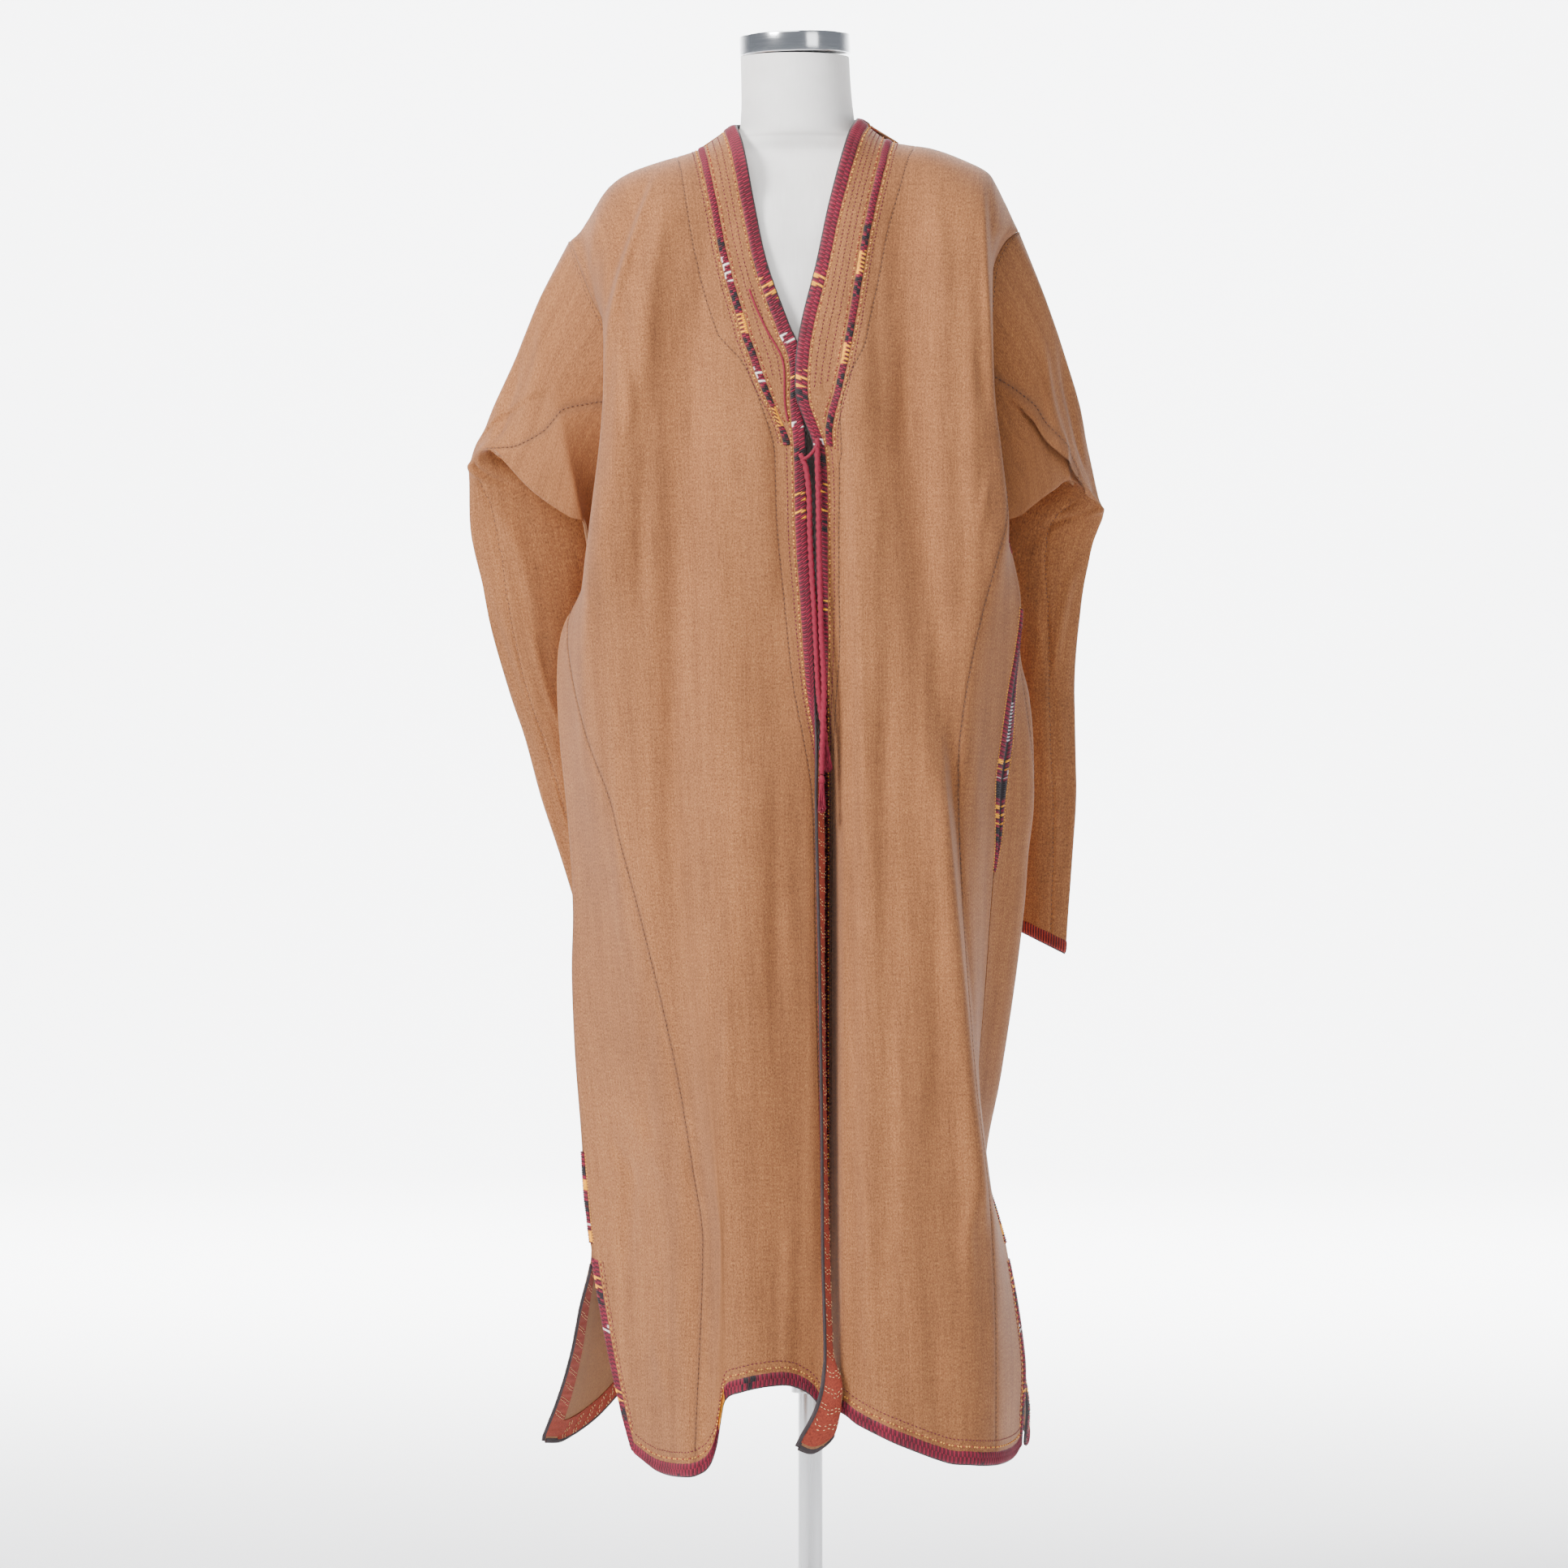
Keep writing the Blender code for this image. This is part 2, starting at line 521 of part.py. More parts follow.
def between(rows, r, c):
    """The point and direction at a row and column that may lie between the grid's own."""
    i = min(max(int(r), 0), len(rows) - 2)
    j = min(max(int(c), 0), len(rows[0]) - 2)
    s, t = r - i, c - j
    point = Vector((0, 0, 0))
    out = Vector((0, 0, 0))
    for a, b, share in ((i, j, (1 - s) * (1 - t)), (i + 1, j, s * (1 - t)), (i, j + 1, (1 - s) * t),
                        (i + 1, j + 1, s * t)):
        point += rows[a][b][0] * share
        out += rows[a][b][1] * share
    return point, out.normalized()


MATERIALS = {}


def material(name, kind):
    colour, rough, metal = COLOURS[kind]
    made = bpy.data.materials.new(name)
    made.use_nodes = True
    shader = made.node_tree.nodes["Principled BSDF"]
    shader.inputs["Base Color"].default_value = (*colour, 1)
    shader.inputs["Roughness"].default_value = rough
    shader.inputs["Metallic"].default_value = metal
    made.diffuse_color = (*colour, 1)
    return made


def piece(name, points, faces, kind, sharp=40):
    bm = bmesh.new()
    corners = [bm.verts.new(p * MM) for p in points]
    for face in faces:
        bm.faces.new([corners[i] for i in face])
    bmesh.ops.recalc_face_normals(bm, faces=bm.faces)
    mesh = bpy.data.meshes.new(name)
    bm.to_mesh(mesh)
    bm.free()
    mesh.materials.append(material(name, kind))
    mesh.shade_smooth()
    mesh.set_sharp_from_angle(angle=math.radians(sharp))
    made = bpy.data.objects.new(name, mesh)
    bpy.context.collection.objects.link(made)
    return made


def wall(name, rows, low, high, kind, ring=False):
    """A closed shell from low to high over the grid's points, open round its edges or closed as a ring."""
    wide, tall = len(rows[0]), len(rows)
    points = [p + out * high for row in rows for p, out in row]
    points += [p + out * low for row in rows for p, out in row]
    under = wide * tall
    faces = []
    across_count = wide if ring else wide - 1
    for i in range(tall - 1):
        for j in range(across_count):
            a, b = i * wide + j, i * wide + (j + 1) % wide
            for face in ((a, b, b + wide), (a, b + wide, a + wide)):
                faces.append(face)
                faces.append(tuple(under + k for k in reversed(face)))
    for j in range(across_count):
        for i in (0, tall - 1):
            a, b = i * wide + j, i * wide + (j + 1) % wide
            faces.append((a, b, under + b, under + a) if i else (b, a, under + a, under + b))
    if not ring:
        for i in range(tall - 1):
            for j in (0, wide - 1):
                a, b = i * wide + j, (i + 1) * wide + j
                faces.append((a, b, under + b, under + a) if not j else (b, a, under + a, under + b))
    return piece(name, points, faces, kind)


# The two fronts, each with its gore.
fronts = {side: front_rows(side, 12) for side in FRONT}
gores = {side: gore_rows(side, 3) for side in FRONT}
for side in FRONT:
    wall(f"{side}_front", fronts[side], -WALL, 0, "wool")
    wall(f"{side}_front_gore", gores[side], -WALL, 0, "wool")

# The back is one length with a gore at each side.
backs = {"back": back_rows("back", 15), "right": back_rows("right", 3), "left": back_rows("left", 3)}
wall("back", backs["back"], -WALL, 0, "wool")
wall("right_back_gore", backs["right"], -WALL, 0, "wool")
wall("left_back_gore", backs["left"], -WALL, 0, "wool")


def armhole(side, s, ahead):
    """The armhole's edge, from the shoulder line (s=0) down to the underarm (s=1)."""
    high = SLEEVE[side][0][2]
    z = high + (UNDERARM[side] - high) * s
    clear = Vector((0.3 + 1.3 * ease((s - 0.03) / 0.15), 0, 0)) * (-1 if side == "right" else 1)
    if ahead:
        return front(side, 1.0, z) + clear
    return back(0.0 if side == "right" else 1.0, z) + clear


def sleeve(side, t, turn):
    """The sleeve at section t, with turn 0 to 1 round it: front from outer to inner edge, then the back."""
    turn %= 1.0
    ahead = turn <= 0.5
    s = 2 * turn if ahead else 2 * (1 - turn)
    row = [hermite(list(range(len(SLEEVE[side]))), [r[k] for r in SLEEVE[side]], t) for k in range(8)]
    outer, inner = Vector(row[:3]), Vector(row[3:6])
    full = row[6] if ahead else -row[7]
    bow = math.sin(math.pi * s) ** 0.75 if 0 < s < 1 else 0.0
    place = outer.lerp(inner, s) + Vector((0, -full * bow, 0))
    if t < 1.0:
        share = 1 - ease(t)
        place = place.lerp(armhole(side, s, ahead), share)
    return place


def sleeve_out(side, t, turn):
    last = len(SLEEVE[side]) - 1
    dt = sleeve(side, min(t + 0.02, last), turn) - sleeve(side, max(t - 0.02, 0), turn)
    dr = sleeve(side, t, turn + 0.012) - sleeve(side, t, turn - 0.012)
    sign = 1 if side == "right" else -1
    return dr.cross(dt).normalized() * sign


def sleeve_pair(side, t, turn):
    return sleeve(side, t, turn), sleeve_out(side, t, turn)


AROUND = 16
TURNS = [0.75, 0.8125, 0.875, 0.965, 1.0, 1.035, 1.125, 1.1875, 1.25, 1.3125, 1.375, 1.4375, 1.5, 1.5625, 1.625,
         1.6875]
START = {"right": 0.016, "left": 0.016}
for side in SLEEVE:
    end = len(SLEEVE[side]) - 1
    top = [START[side]] + [GUSSET_END * k / 8 for k in range(1, 9)]
    low = [5.0] + [5 + (end - 5) * k / 14 for k in range(1, 15)]
    half = AROUND // 2
    # The upper sleeve is open under the arm, where the gusset is, and the lower sleeve is a whole tube.
    faces = []
    grid = {}
    for t in top + low:
        whole = t > GUSSET_END - 1e-6
        for j in range(AROUND):
            if whole:
                grid[t, j] = sleeve_pair(side, t, TURNS[j])
        if not whole:
            for j in range(half + 1):
                turn = min(max(TURNS[j], GUSSET[1] + 0.0014), 1 + GUSSET[0] - 0.0014)
                grid[t, j] = sleeve_pair(side, t, turn)
    keys = {key: i for i, key in enumerate(grid)}
    under = len(keys)
    points = [p for p, out in grid.values()] + [p - out * WALL for p, out in grid.values()]
    levels = top + low
    edges = []
    for a, b in zip(levels, levels[1:]):
        lower_whole = b > GUSSET_END - 1e-6
        upper_whole = a > GUSSET_END - 1e-6
        span = AROUND if upper_whole else half
        for j in range(span):
            n = (j + 1) % AROUND if upper_whole else j + 1
            faces.append((keys[a, j], keys[a, n], keys[b, n % AROUND if lower_whole else n], keys[b, j]))
        if not upper_whole:
            edges += [(keys[b, 0], keys[a, 0]), (keys[a, half], keys[b, half])]
        if lower_whole and not upper_whole:
            edges += [(keys[b, (j + 1) % AROUND], keys[b, j]) for j in range(half, AROUND)]
    edges += [(keys[levels[0], j], keys[levels[0], j + 1]) for j in range(half)]
    edges += [(keys[levels[-1], (j + 1) % AROUND], keys[levels[-1], j]) for j in range(AROUND)]
    shell = faces + [tuple(under + k for k in reversed(face)) for face in faces]
    shell += [(b, a, under + a, under + b) for a, b in edges]
    piece(f"{side}_sleeve", points, shell, "wool")

    gusset = []
    for t in [START[side]] + [GUSSET_END * k / 8 for k in range(1, 7)] + [GUSSET_END - 0.75, GUSSET_END - 0.4]:
        row = []
        for j in range(9):
            turn = GUSSET[0] + 0.0014 + (GUSSET[1] - GUSSET[0] - 0.0028) * j / 8
            row.append(sleeve_pair(side, t, turn))
        gusset.append(row)
    wall(f"{side}_gusset", gusset, -WALL, 0, "wool")

    cuff = []
    for t in (end - 0.16, end - 0.02):
        cuff.append([sleeve_pair(side, t, turn) for turn in TURNS])
    wall(f"{side}_cuff_binding", cuff, LIFT, LIFT + BRAID, "facing", ring=True)

# The dress form, a closed solid of smooth sections.
SIDES = 24
ring_z = []
for a, b in zip(FORM, FORM[1:]):
    ring_z += [a[0] + (b[0] - a[0]) * k / 2 for k in range(2 if a[0] - b[0] > 30 else 1)]
ring_z.append(FORM[-1][0])
points, faces = [], []
for z in ring_z:
    half_x, half_y, mid_x, mid_y = (track(FORM, z, k) for k in range(1, 5))
    power = 2.0 + 0.25 * ease((1460 - z) / 40)
    for j in range(SIDES):
        angle = 2 * math.pi * j / SIDES
        c, s = math.cos(angle), math.sin(angle)
        reach = (abs(c) ** power + abs(s) ** power) ** (-1 / power)
        points.append(Vector((mid_x + half_x * reach * c, mid_y + half_y * reach * s, z)))
for i in range(len(ring_z) - 1):
    for j in range(SIDES):
        n = (j + 1) % SIDES
        faces.append((i * SIDES + j, i * SIDES + n, (i + 1) * SIDES + n, (i + 1) * SIDES + j))
faces.append(tuple(range(SIDES)))
faces.append(tuple(range((len(ring_z) - 1) * SIDES, len(ring_z) * SIDES)))
piece("form_torso", points, faces, "linen")

cap = bmesh.new()
bmesh.ops.create_cone(cap, cap_ends=True, segments=32, radius1=CAP["radius"] * MM, radius2=CAP["radius"] * MM,
                      depth=CAP["height"] * MM)
bmesh.ops.bevel(cap, geom=[e for e in cap.edges if e.calc_face_angle(0) > 1], offset=1.2 * MM, segments=2,
                affect="EDGES")
cap.transform(Matrix.Translation((CAP["x"] * MM, 0.002, (CAP["z"] + 1.15 + CAP["height"] / 2) * MM))
              @ Matrix.Rotation(CAP["tilt"], 4, "Y"))


def finished(name, bm, kind, sharp=40):
    bmesh.ops.recalc_face_normals(bm, faces=bm.faces)
    mesh = bpy.data.meshes.new(name)
    bm.to_mesh(mesh)
    bm.free()
    mesh.materials.append(material(name, kind))
    mesh.shade_smooth()
    mesh.set_sharp_from_angle(angle=math.radians(sharp))
    made = bpy.data.objects.new(name, mesh)
    bpy.context.collection.objects.link(made)
    return made


def turned(name, profile, kind, segments=32, closed=False):
    """A solid turned about the pole's axis from rows of radius and height."""
    bm = bmesh.new()
    corners = [bm.verts.new((r * MM, 0, z * MM)) for r, z in profile]
    pairs = list(zip(corners, corners[1:])) + ([(corners[-1], corners[0])] if closed else [])
    edges = [bm.edges.new(pair) for pair in pairs]
    bmesh.ops.spin(bm, geom=corners + edges, cent=(0, 0, 0), axis=(0, 0, 1), angle=2 * math.pi, steps=segments)
    bmesh.ops.remove_doubles(bm, verts=bm.verts, dist=1e-6)
    return finished(name, bm, kind)


finished("neck_cap", cap, "chrome")
turned("base", ((0, 0), (BASE_R - 2, 0), (BASE_R, 2), (BASE_R, BASE_H - 2), (BASE_R - 2, BASE_H), (26, BASE_H),
                (24, BASE_H + 22), (22, BASE_H + 24), (0, BASE_H + 24)), "steel")
turned("pole", ((0, BASE_H + 24.3), (POLE_R, BASE_H + 24.3), (POLE_R, 779.7), (0, 779.7)), "steel", 24)
turned("pole_collar", ((POLE_R + 0.4, 262), (17, 262), (18, 263), (18, 275), (17, 276), (POLE_R + 0.4, 276)),
       "steel", 24, closed=True)


def from_end(rows, c, distance):
    """The row that lies a distance above the hem in column c."""
    last = len(rows) - 1
    step = (between(rows, last, c)[0] - between(rows, last - 1, c)[0]).length
    return last - distance / step


def at_height(rows, c, z):
    """The row at which column c passes height z."""
    for i in range(len(rows) - 1):
        a, b = between(rows, i, c)[0].z, between(rows, i + 1, c)[0].z
        if a >= z >= b:
            return i + (a - z) / (a - b)
    return 0.0 if z > rows[0][0][0].z else float(len(rows) - 1)


def stops(first, last):
    """Whole rows between two places, with the places themselves."""
    return [first] + [k for k in range(int(first) + 1, math.ceil(last)) if k - first > 0.1 and last - k > 0.1] + [last]


for side in FRONT:
    rows, gore = fronts[side], gores[side]
    end = from_end(rows, 0.5, HEM_BINDING + 0.6)
    wall(f"{side}_edge_braid", [[between(rows, r, c) for c in (0.02, 0.93)] for r in stops(0.0, end)],
         LIFT, LIFT + BRAID, "crimson")
    inner = []
    for r in stops(0.12, at_height(rows, 2, 1166)):
        middle = between(rows, r, 2)[0]
        near = (middle - between(rows, r, 1)[0]).length
        far = (between(rows, r, 3)[0] - middle).length
        inner.append([between(rows, r, c) for c in (2 - SECOND_BRAID / 2 / near, 2, 2 + SECOND_BRAID / 2 / far)])
    wall(f"{side}_neck_braid", inner, LIFT + 0.05, LIFT + BRAID, "crimson")
    first = 3 if side == "right" else 0
    across_hem = [(rows, c) for c in range(first, len(rows[0]))] + [(gore, c) for c in range(len(gore[0]))]
    binding = [[between(g, from_end(g, c, d), c) for g, c in across_hem] for d in (HEM_BINDING, 0.2)]
    wall(f"{side}_hem_binding", binding, LIFT + 0.6, LIFT + 0.5 + BRAID, "crimson")
    cell = (gore[-1][-1][0] - gore[-1][-2][0]).length
    slit = []
    for r in stops(at_height(gore, 3, 392), from_end(gore, 3, HEM_BINDING + 0.8)):
        cell = (between(gore, r, 3)[0] - between(gore, r, 2)[0]).length
        slit.append([between(gore, r, c) for c in (3 - 9 / cell, 2.995)])
    wall(f"{side}_slit_braid", slit, LIFT + 0.2, LIFT + BRAID, "crimson")

rows = fronts["right"]
facing = [[between(rows, r, c) for c in (0.03, 1, 2)] for r in stops(at_height(rows, 0, 790), from_end(rows, 0.5, 0.5))]
wall("right_front_facing", facing, -WALL - LIFT - 1.2, -WALL - LIFT - 0.2, "facing")

columns = [(backs["right"], c) for c in range(4)] + [(backs["back"], c) for c in range(16)]
columns += [(backs["left"], c) for c in range(4)]
binding = [[between(g, from_end(g, c, d), c) for g, c in columns] for d in (HEM_BINDING, 0.2)]
wall("back_hem_binding", binding, LIFT, LIFT + BRAID, "crimson")

for side in ("right", "left"):
    gore = backs[side]
    edge, step = (0, 1) if side == "right" else (3, -1)
    slit, facing = [], []
    for r in stops(at_height(gore, edge, 386), from_end(gore, edge, HEM_BINDING + 0.8)):
        cell = (between(gore, r, edge)[0] - between(gore, r, edge + step)[0]).length
        slit.append([between(gore, r, c) for c in sorted((edge + step * 0.005, edge + step * 9 / cell))])
    wall(f"{side}_back_slit_braid", slit, LIFT, LIFT + BRAID, "crimson")
gore = backs["right"]
facing = []
for r in stops(at_height(gore, 0, 386), from_end(gore, 0, 0.4)):
    cells = [(between(gore, r, c)[0] - between(gore, r, c + 1)[0]).length for c in (0, 1)]
    reach = FACING / cells[0] if FACING < cells[0] else 1 + (FACING - cells[0]) / cells[1]
    facing.append([between(gore, r, c) for c in ((0.01, reach) if reach < 1 else (0.01, 1, reach))])
wall("right_back_slit_facing", facing, -WALL - LIFT - 1.9, -WALL - LIFT - 0.9, "facing")
facing = []
last_cell = (between(gore, len(gore) - 1, 0)[0] - between(gore, len(gore) - 1, 1)[0]).length
for c in [(FACING + 1.5) / last_cell, 1, 2, 2.98]:
    facing.append([between(gore, from_end(gore, c, d), c) for d in (FACING, 0.4)])
wall("right_back_hem_facing", facing, -WALL - LIFT - 1.9, -WALL - LIFT - 0.9, "facing")


def seam_patch(name, side, widths, kind, lift=0.8):
    """A patch over the side seam, from rows of height and half width."""
    ahead, behind = gores[side], backs[side]
    last = len(ahead[0]) - 1
    edge = 0 if side == "right" else len(behind[0]) - 1
    step = 1 if side == "right" else -1
    high, low = widths[0][0], widths[-1][0]
    heights = [high] + [row[-1][0].z for row in ahead if low + 5 < row[-1][0].z < high - 5] + [low]
    grid = []
    for z in heights:
        half = track(widths, z, 1)
        r, q = at_height(ahead, last, z), at_height(behind, edge, z)
        near = (between(ahead, r, last)[0] - between(ahead, r, last - 1)[0]).length
        far = (between(behind, q, edge)[0] - between(behind, q, edge + step)[0]).length
        seam = (between(ahead, r, last)[0] + between(behind, q, edge)[0]) / 2
        out = (between(ahead, r, last)[1] + between(behind, q, edge)[1]).normalized()
        grid.append([between(ahead, r, last - half / near), (seam, out), between(behind, q, edge + step * half / far)])
    return wall(name, grid, LIFT + lift, LIFT + lift - 0.3 + BRAID, kind)


seam_patch("left_pocket_binding", "left", ((1003, 1.5), (960, 4), (925, 5.5), (880, 7.5), (840, 7.5), (790, 5),
                                           (756, 1.5)), "crimson", 0.0)
seam_patch("right_side_embroidery", "right", ((492, 3.0), (450, 4.5), (406, 4.5)), "crimson")
seam_patch("left_side_embroidery", "left", ((524, 3.0), (460, 4.0), (406, 4.5)), "crimson")


def collar(w, h):
    """The standing collar, from the back's neckline (h=0) to its top edge (h=1), right end to left end."""
    u = 0.36 + 0.28 * w
    low = back(u, track(BACK_NECK, u, 1) - 0.7) + Vector((0, 0, 1.8))
    angle = math.pi * (1 - w)
    high = Vector((-13 + 60.5 * math.cos(angle), 62 * math.sin(angle), 1463.5 + 6 * w + 3 * math.sin(math.pi * w)))
    return low.lerp(high, h)


def collar_pair(w, h):
    dw = collar(min(w + 0.01, 1), h) - collar(max(w - 0.01, 0), h)
    dh = collar(w, 1) - collar(w, 0)
    return collar(w, h), dh.cross(dw).normalized()


spots = [0.012 + 0.976 * k / 18 for k in range(19)]
wall("collar", [[collar_pair(w, h) for w in spots] for h in (0.0, 0.4, 0.72, 0.985)], -WALL, 0, "wool")
wall("collar_braid", [[collar_pair(w, h) for w in spots] for h in (0.72, 0.98)], LIFT, LIFT + BRAID, "crimson")
wall("collar_facing", [[collar_pair(w, h) for w in spots] for h in (0.4, 0.72, 0.98)], -WALL - LIFT - 1, -WALL - LIFT,
     "crimson")


def cord(name, route, step=12.0):
    """A round cord along a smooth curve through the route's points."""
    marks = [0.0]
    for a, b in zip(route, route[1:]):
        marks.append(marks[-1] + math.dist(a, b))
    count = max(2, round(marks[-1] / step))
    line = bpy.data.curves.new(name, "CURVE")
    line.dimensions = "3D"
    line.bevel_depth = CORD_D / 2 * MM
    line.bevel_resolution = 2
    line.use_fill_caps = True
    spline = line.splines.new("POLY")
    spline.points.add(count)
    for k, point in enumerate(spline.points):
        at = marks[-1] * k / count
        point.co = (*(hermite(marks, [p[i] for p in route], at) * MM for i in range(3)), 1)
    line.materials.append(material(name, "crimson"))
    made = bpy.data.objects.new(name, line)
    bpy.context.collection.objects.link(made)


def tassel(name, top, length, spread, lean):
    """A tassel: strands that hang from the underside of a small head."""
    bm = bmesh.new()
    bmesh.ops.create_cone(bm, cap_ends=True, segments=8, radius1=3.6 * MM, radius2=2.4 * MM, depth=7 * MM)
    under = min((f for f in bm.faces), key=lambda f: f.calc_center_median().z)
    ringed = bmesh.ops.inset_region(bm, faces=[under], thickness=1.7 * MM)["faces"]
    parts = ringed + bmesh.ops.poke(bm, faces=[under])["faces"]
    bmesh.ops.inset_individual(bm, faces=parts, thickness=0.12 * MM)
    strands = bmesh.ops.extrude_discrete_faces(bm, faces=parts)["faces"]
    for k, face in enumerate(strands):
        middle = face.calc_center_median()
        away = Vector((middle.x, middle.y, 0)) * spread
        drop = length * (0.8 + 0.2 * math.sin(2.4 * k)) * MM
        for corner in face.verts:
            corner.co += away + Vector((lean * MM, 0, -drop)) + (middle - corner.co) * 0.35
    bm.transform(Matrix.Translation(Vector(top) * MM - Vector((0, 0, 3.5 * MM))))
    return finished(name, bm, "crimson", 60)


for side, route in TIES.items():
    cord(f"{side}_tie", route)
    end = route[-1]
    tassel(f"{side}_tassel", (end[0], end[1], end[2] - (1.4 if side == "right" else 0.5)), 34, 1.1, 3.0 if side == "right" else 0.0)
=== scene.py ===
"""A camel wool chapan coat worn open on a limbless linen dress form with a chrome neck cap and a steel pole.

Tables are in millimetres and every mesh is in metres. +Z is up, the coat's front faces -Y, and right and left are
the wearer's, so the right front lies at -X.
"""

import math

import bpy
import numpy as np
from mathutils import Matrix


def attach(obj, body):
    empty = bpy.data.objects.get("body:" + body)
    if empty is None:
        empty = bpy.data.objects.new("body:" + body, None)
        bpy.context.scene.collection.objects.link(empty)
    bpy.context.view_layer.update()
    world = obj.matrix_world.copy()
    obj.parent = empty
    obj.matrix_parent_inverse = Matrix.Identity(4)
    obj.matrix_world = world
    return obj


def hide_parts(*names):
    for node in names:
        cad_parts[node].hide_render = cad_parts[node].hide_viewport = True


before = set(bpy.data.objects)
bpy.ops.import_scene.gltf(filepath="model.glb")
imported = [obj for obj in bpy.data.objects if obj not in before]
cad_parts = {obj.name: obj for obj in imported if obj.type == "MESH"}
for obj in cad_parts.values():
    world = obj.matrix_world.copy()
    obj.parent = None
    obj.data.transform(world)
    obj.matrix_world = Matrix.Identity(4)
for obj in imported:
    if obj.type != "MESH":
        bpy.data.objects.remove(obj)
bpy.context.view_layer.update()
MM = 0.001

# Camera. A long lens level with the coat's middle, square to its front, so the coat fills the frame and the base
# lies below it.
CAMERA_AWAY = 7.0  # metres from the coat's front edges
HALF_FRAME = 0.73416  # metres from the middle of the frame to its edge, at the depth of those edges
view = bpy.data.cameras.new("front_view")
view.sensor_width = 36
view.lens = view.sensor_width * CAMERA_AWAY / (2 * HALF_FRAME)
viewer = bpy.data.objects.new("front_view", view)
viewer.location = (-0.02508, -7.09, 0.83884)
viewer.rotation_euler = (math.radians(90), 0, 0)
bpy.context.scene.collection.objects.link(viewer)
bpy.context.scene.camera = viewer


# Tie cords. Two limp crimson cords hang from the neck's end, one sewn to each front. Each is two thick plies of
# wool twisted together, and its far end is bound off above a tassel.
TIES = {
    "right": {"length": 0.262, "route": (
        (-10, -139.4, 1146), (-5, -141.5, 1134), (-2, -144, 1110), (-1, -145, 1071), (1, -147, 1030),
        (3, -149, 1000), (5, -151, 960), (7, -152, 925), (10, -153, 900), (13, -153.5, 888))},
    "left": {"length": 0.314, "route": (
        (6, -143, 1160), (6, -145, 1140), (7, -147, 1100), (7.5, -149, 1060), (8.5, -151.5, 1020),
        (9.5, -154.5, 980), (12, -157.5, 930), (11, -160, 890), (10, -160, 860), (10, -160, 848))},
}
CORD_D = 5.8
CORD_TWIST = 7.5  # mm for half a turn of the plies
CORD_SIDES = 12


def smooth(xs, ys, x):
    """A smooth curve through the points, held level past its ends. ys may have a column for each x."""
    xs, ys, x = np.asarray(xs, float), np.asarray(ys, float), np.asarray(x, float)
    x = np.clip(x, xs[0], xs[-1])
    i = np.clip(np.searchsorted(xs, x, side="right") - 1, 0, len(xs) - 2)
    gap = xs[1:] - xs[:-1]
    wide = ys.ndim > 1
    slope = np.empty_like(ys)
    span = (xs[2:] - xs[:-2])
    slope[1:-1] = (ys[2:] - ys[:-2]) / (span[:, None] if wide else span)
    slope[0] = (ys[1] - ys[0]) / gap[0]
    slope[-1] = (ys[-1] - ys[-2]) / gap[-1]
    if wide:
        column = np.arange(ys.shape[1])
        y0, y1, m0, m1 = ys[i, column], ys[i + 1, column], slope[i, column], slope[i + 1, column]
    else:
        y0, y1, m0, m1 = ys[i], ys[i + 1], slope[i], slope[i + 1]
    h = gap[i]
    step = (y1 - y0) / h
    t = (x - xs[i]) / h
    return y0 + h * t * (m0 + t * (3 * step - 2 * m0 - m1 + t * (m0 + m1 - 2 * step)))


def unit(vectors):
    return vectors / np.maximum(np.linalg.norm(vectors, axis=-1, keepdims=True), 1e-12)


def run_of(points):
    """The distance along a line of points."""
    return np.concatenate([[0], np.cumsum(np.linalg.norm(np.diff(points, axis=0), axis=1))])


def mesh_piece(name, points, faces, material, uv=None, thread=None, sharp=None):
    """An object from points in millimetres, with a map in metres and a colour for each point if given."""
    mesh = bpy.data.meshes.new(name)
    mesh.from_pydata((np.asarray(points, float) * MM).tolist(), [], np.asarray(faces).tolist()
                     if isinstance(faces, np.ndarray) else faces)
    corners = np.empty(len(mesh.loops), dtype=np.int64)
    mesh.loops.foreach_get("vertex_index", corners)
    if uv is not None:
        layer = mesh.uv_layers.new(name="cloth")
        layer.data.foreach_set("uv", (np.asarray(uv, float)[corners] * MM).astype(np.float32).ravel())
    if thread is not None:
        colours = mesh.color_attributes.new("thread", "FLOAT_COLOR", "POINT")
        colours.data.foreach_set("color", np.asarray(thread, np.float32).ravel())
    mesh.materials.append(material)
    mesh.shade_smooth()
    if sharp:
        mesh.set_sharp_from_angle(angle=math.radians(sharp))
    made = bpy.data.objects.new(name, mesh)
    bpy.context.scene.collection.objects.link(made)
    return made


def grid_faces(rows, columns, start=0, ring=False, flip=False):
    i, j = np.meshgrid(np.arange(rows - 1), np.arange(columns if ring else columns - 1), indexing="ij")
    i, j = i.ravel(), j.ravel()
    k = (j + 1) % columns
    quad = np.stack([i * columns + j, i * columns + k, (i + 1) * columns + k, (i + 1) * columns + j], 1) + start
    return quad[:, ::-1] if flip else quad


def node_maker(tree):
    """A short way to add a shader node and to join what feeds it."""
    def make(kind, values=None, **links):
        node = tree.nodes.new("ShaderNode" + kind)
        for key, value in (values or {}).items():
            if isinstance(key, int) or key in node.inputs:
                node.inputs[key].default_value = value
            else:
                setattr(node, key, value)
        for key, source in links.items():
            name = key.replace("_", " ")
            tree.links.new(source, node.inputs[int(key[1:]) if key[1:].isdigit() else name])
        return node
    return make


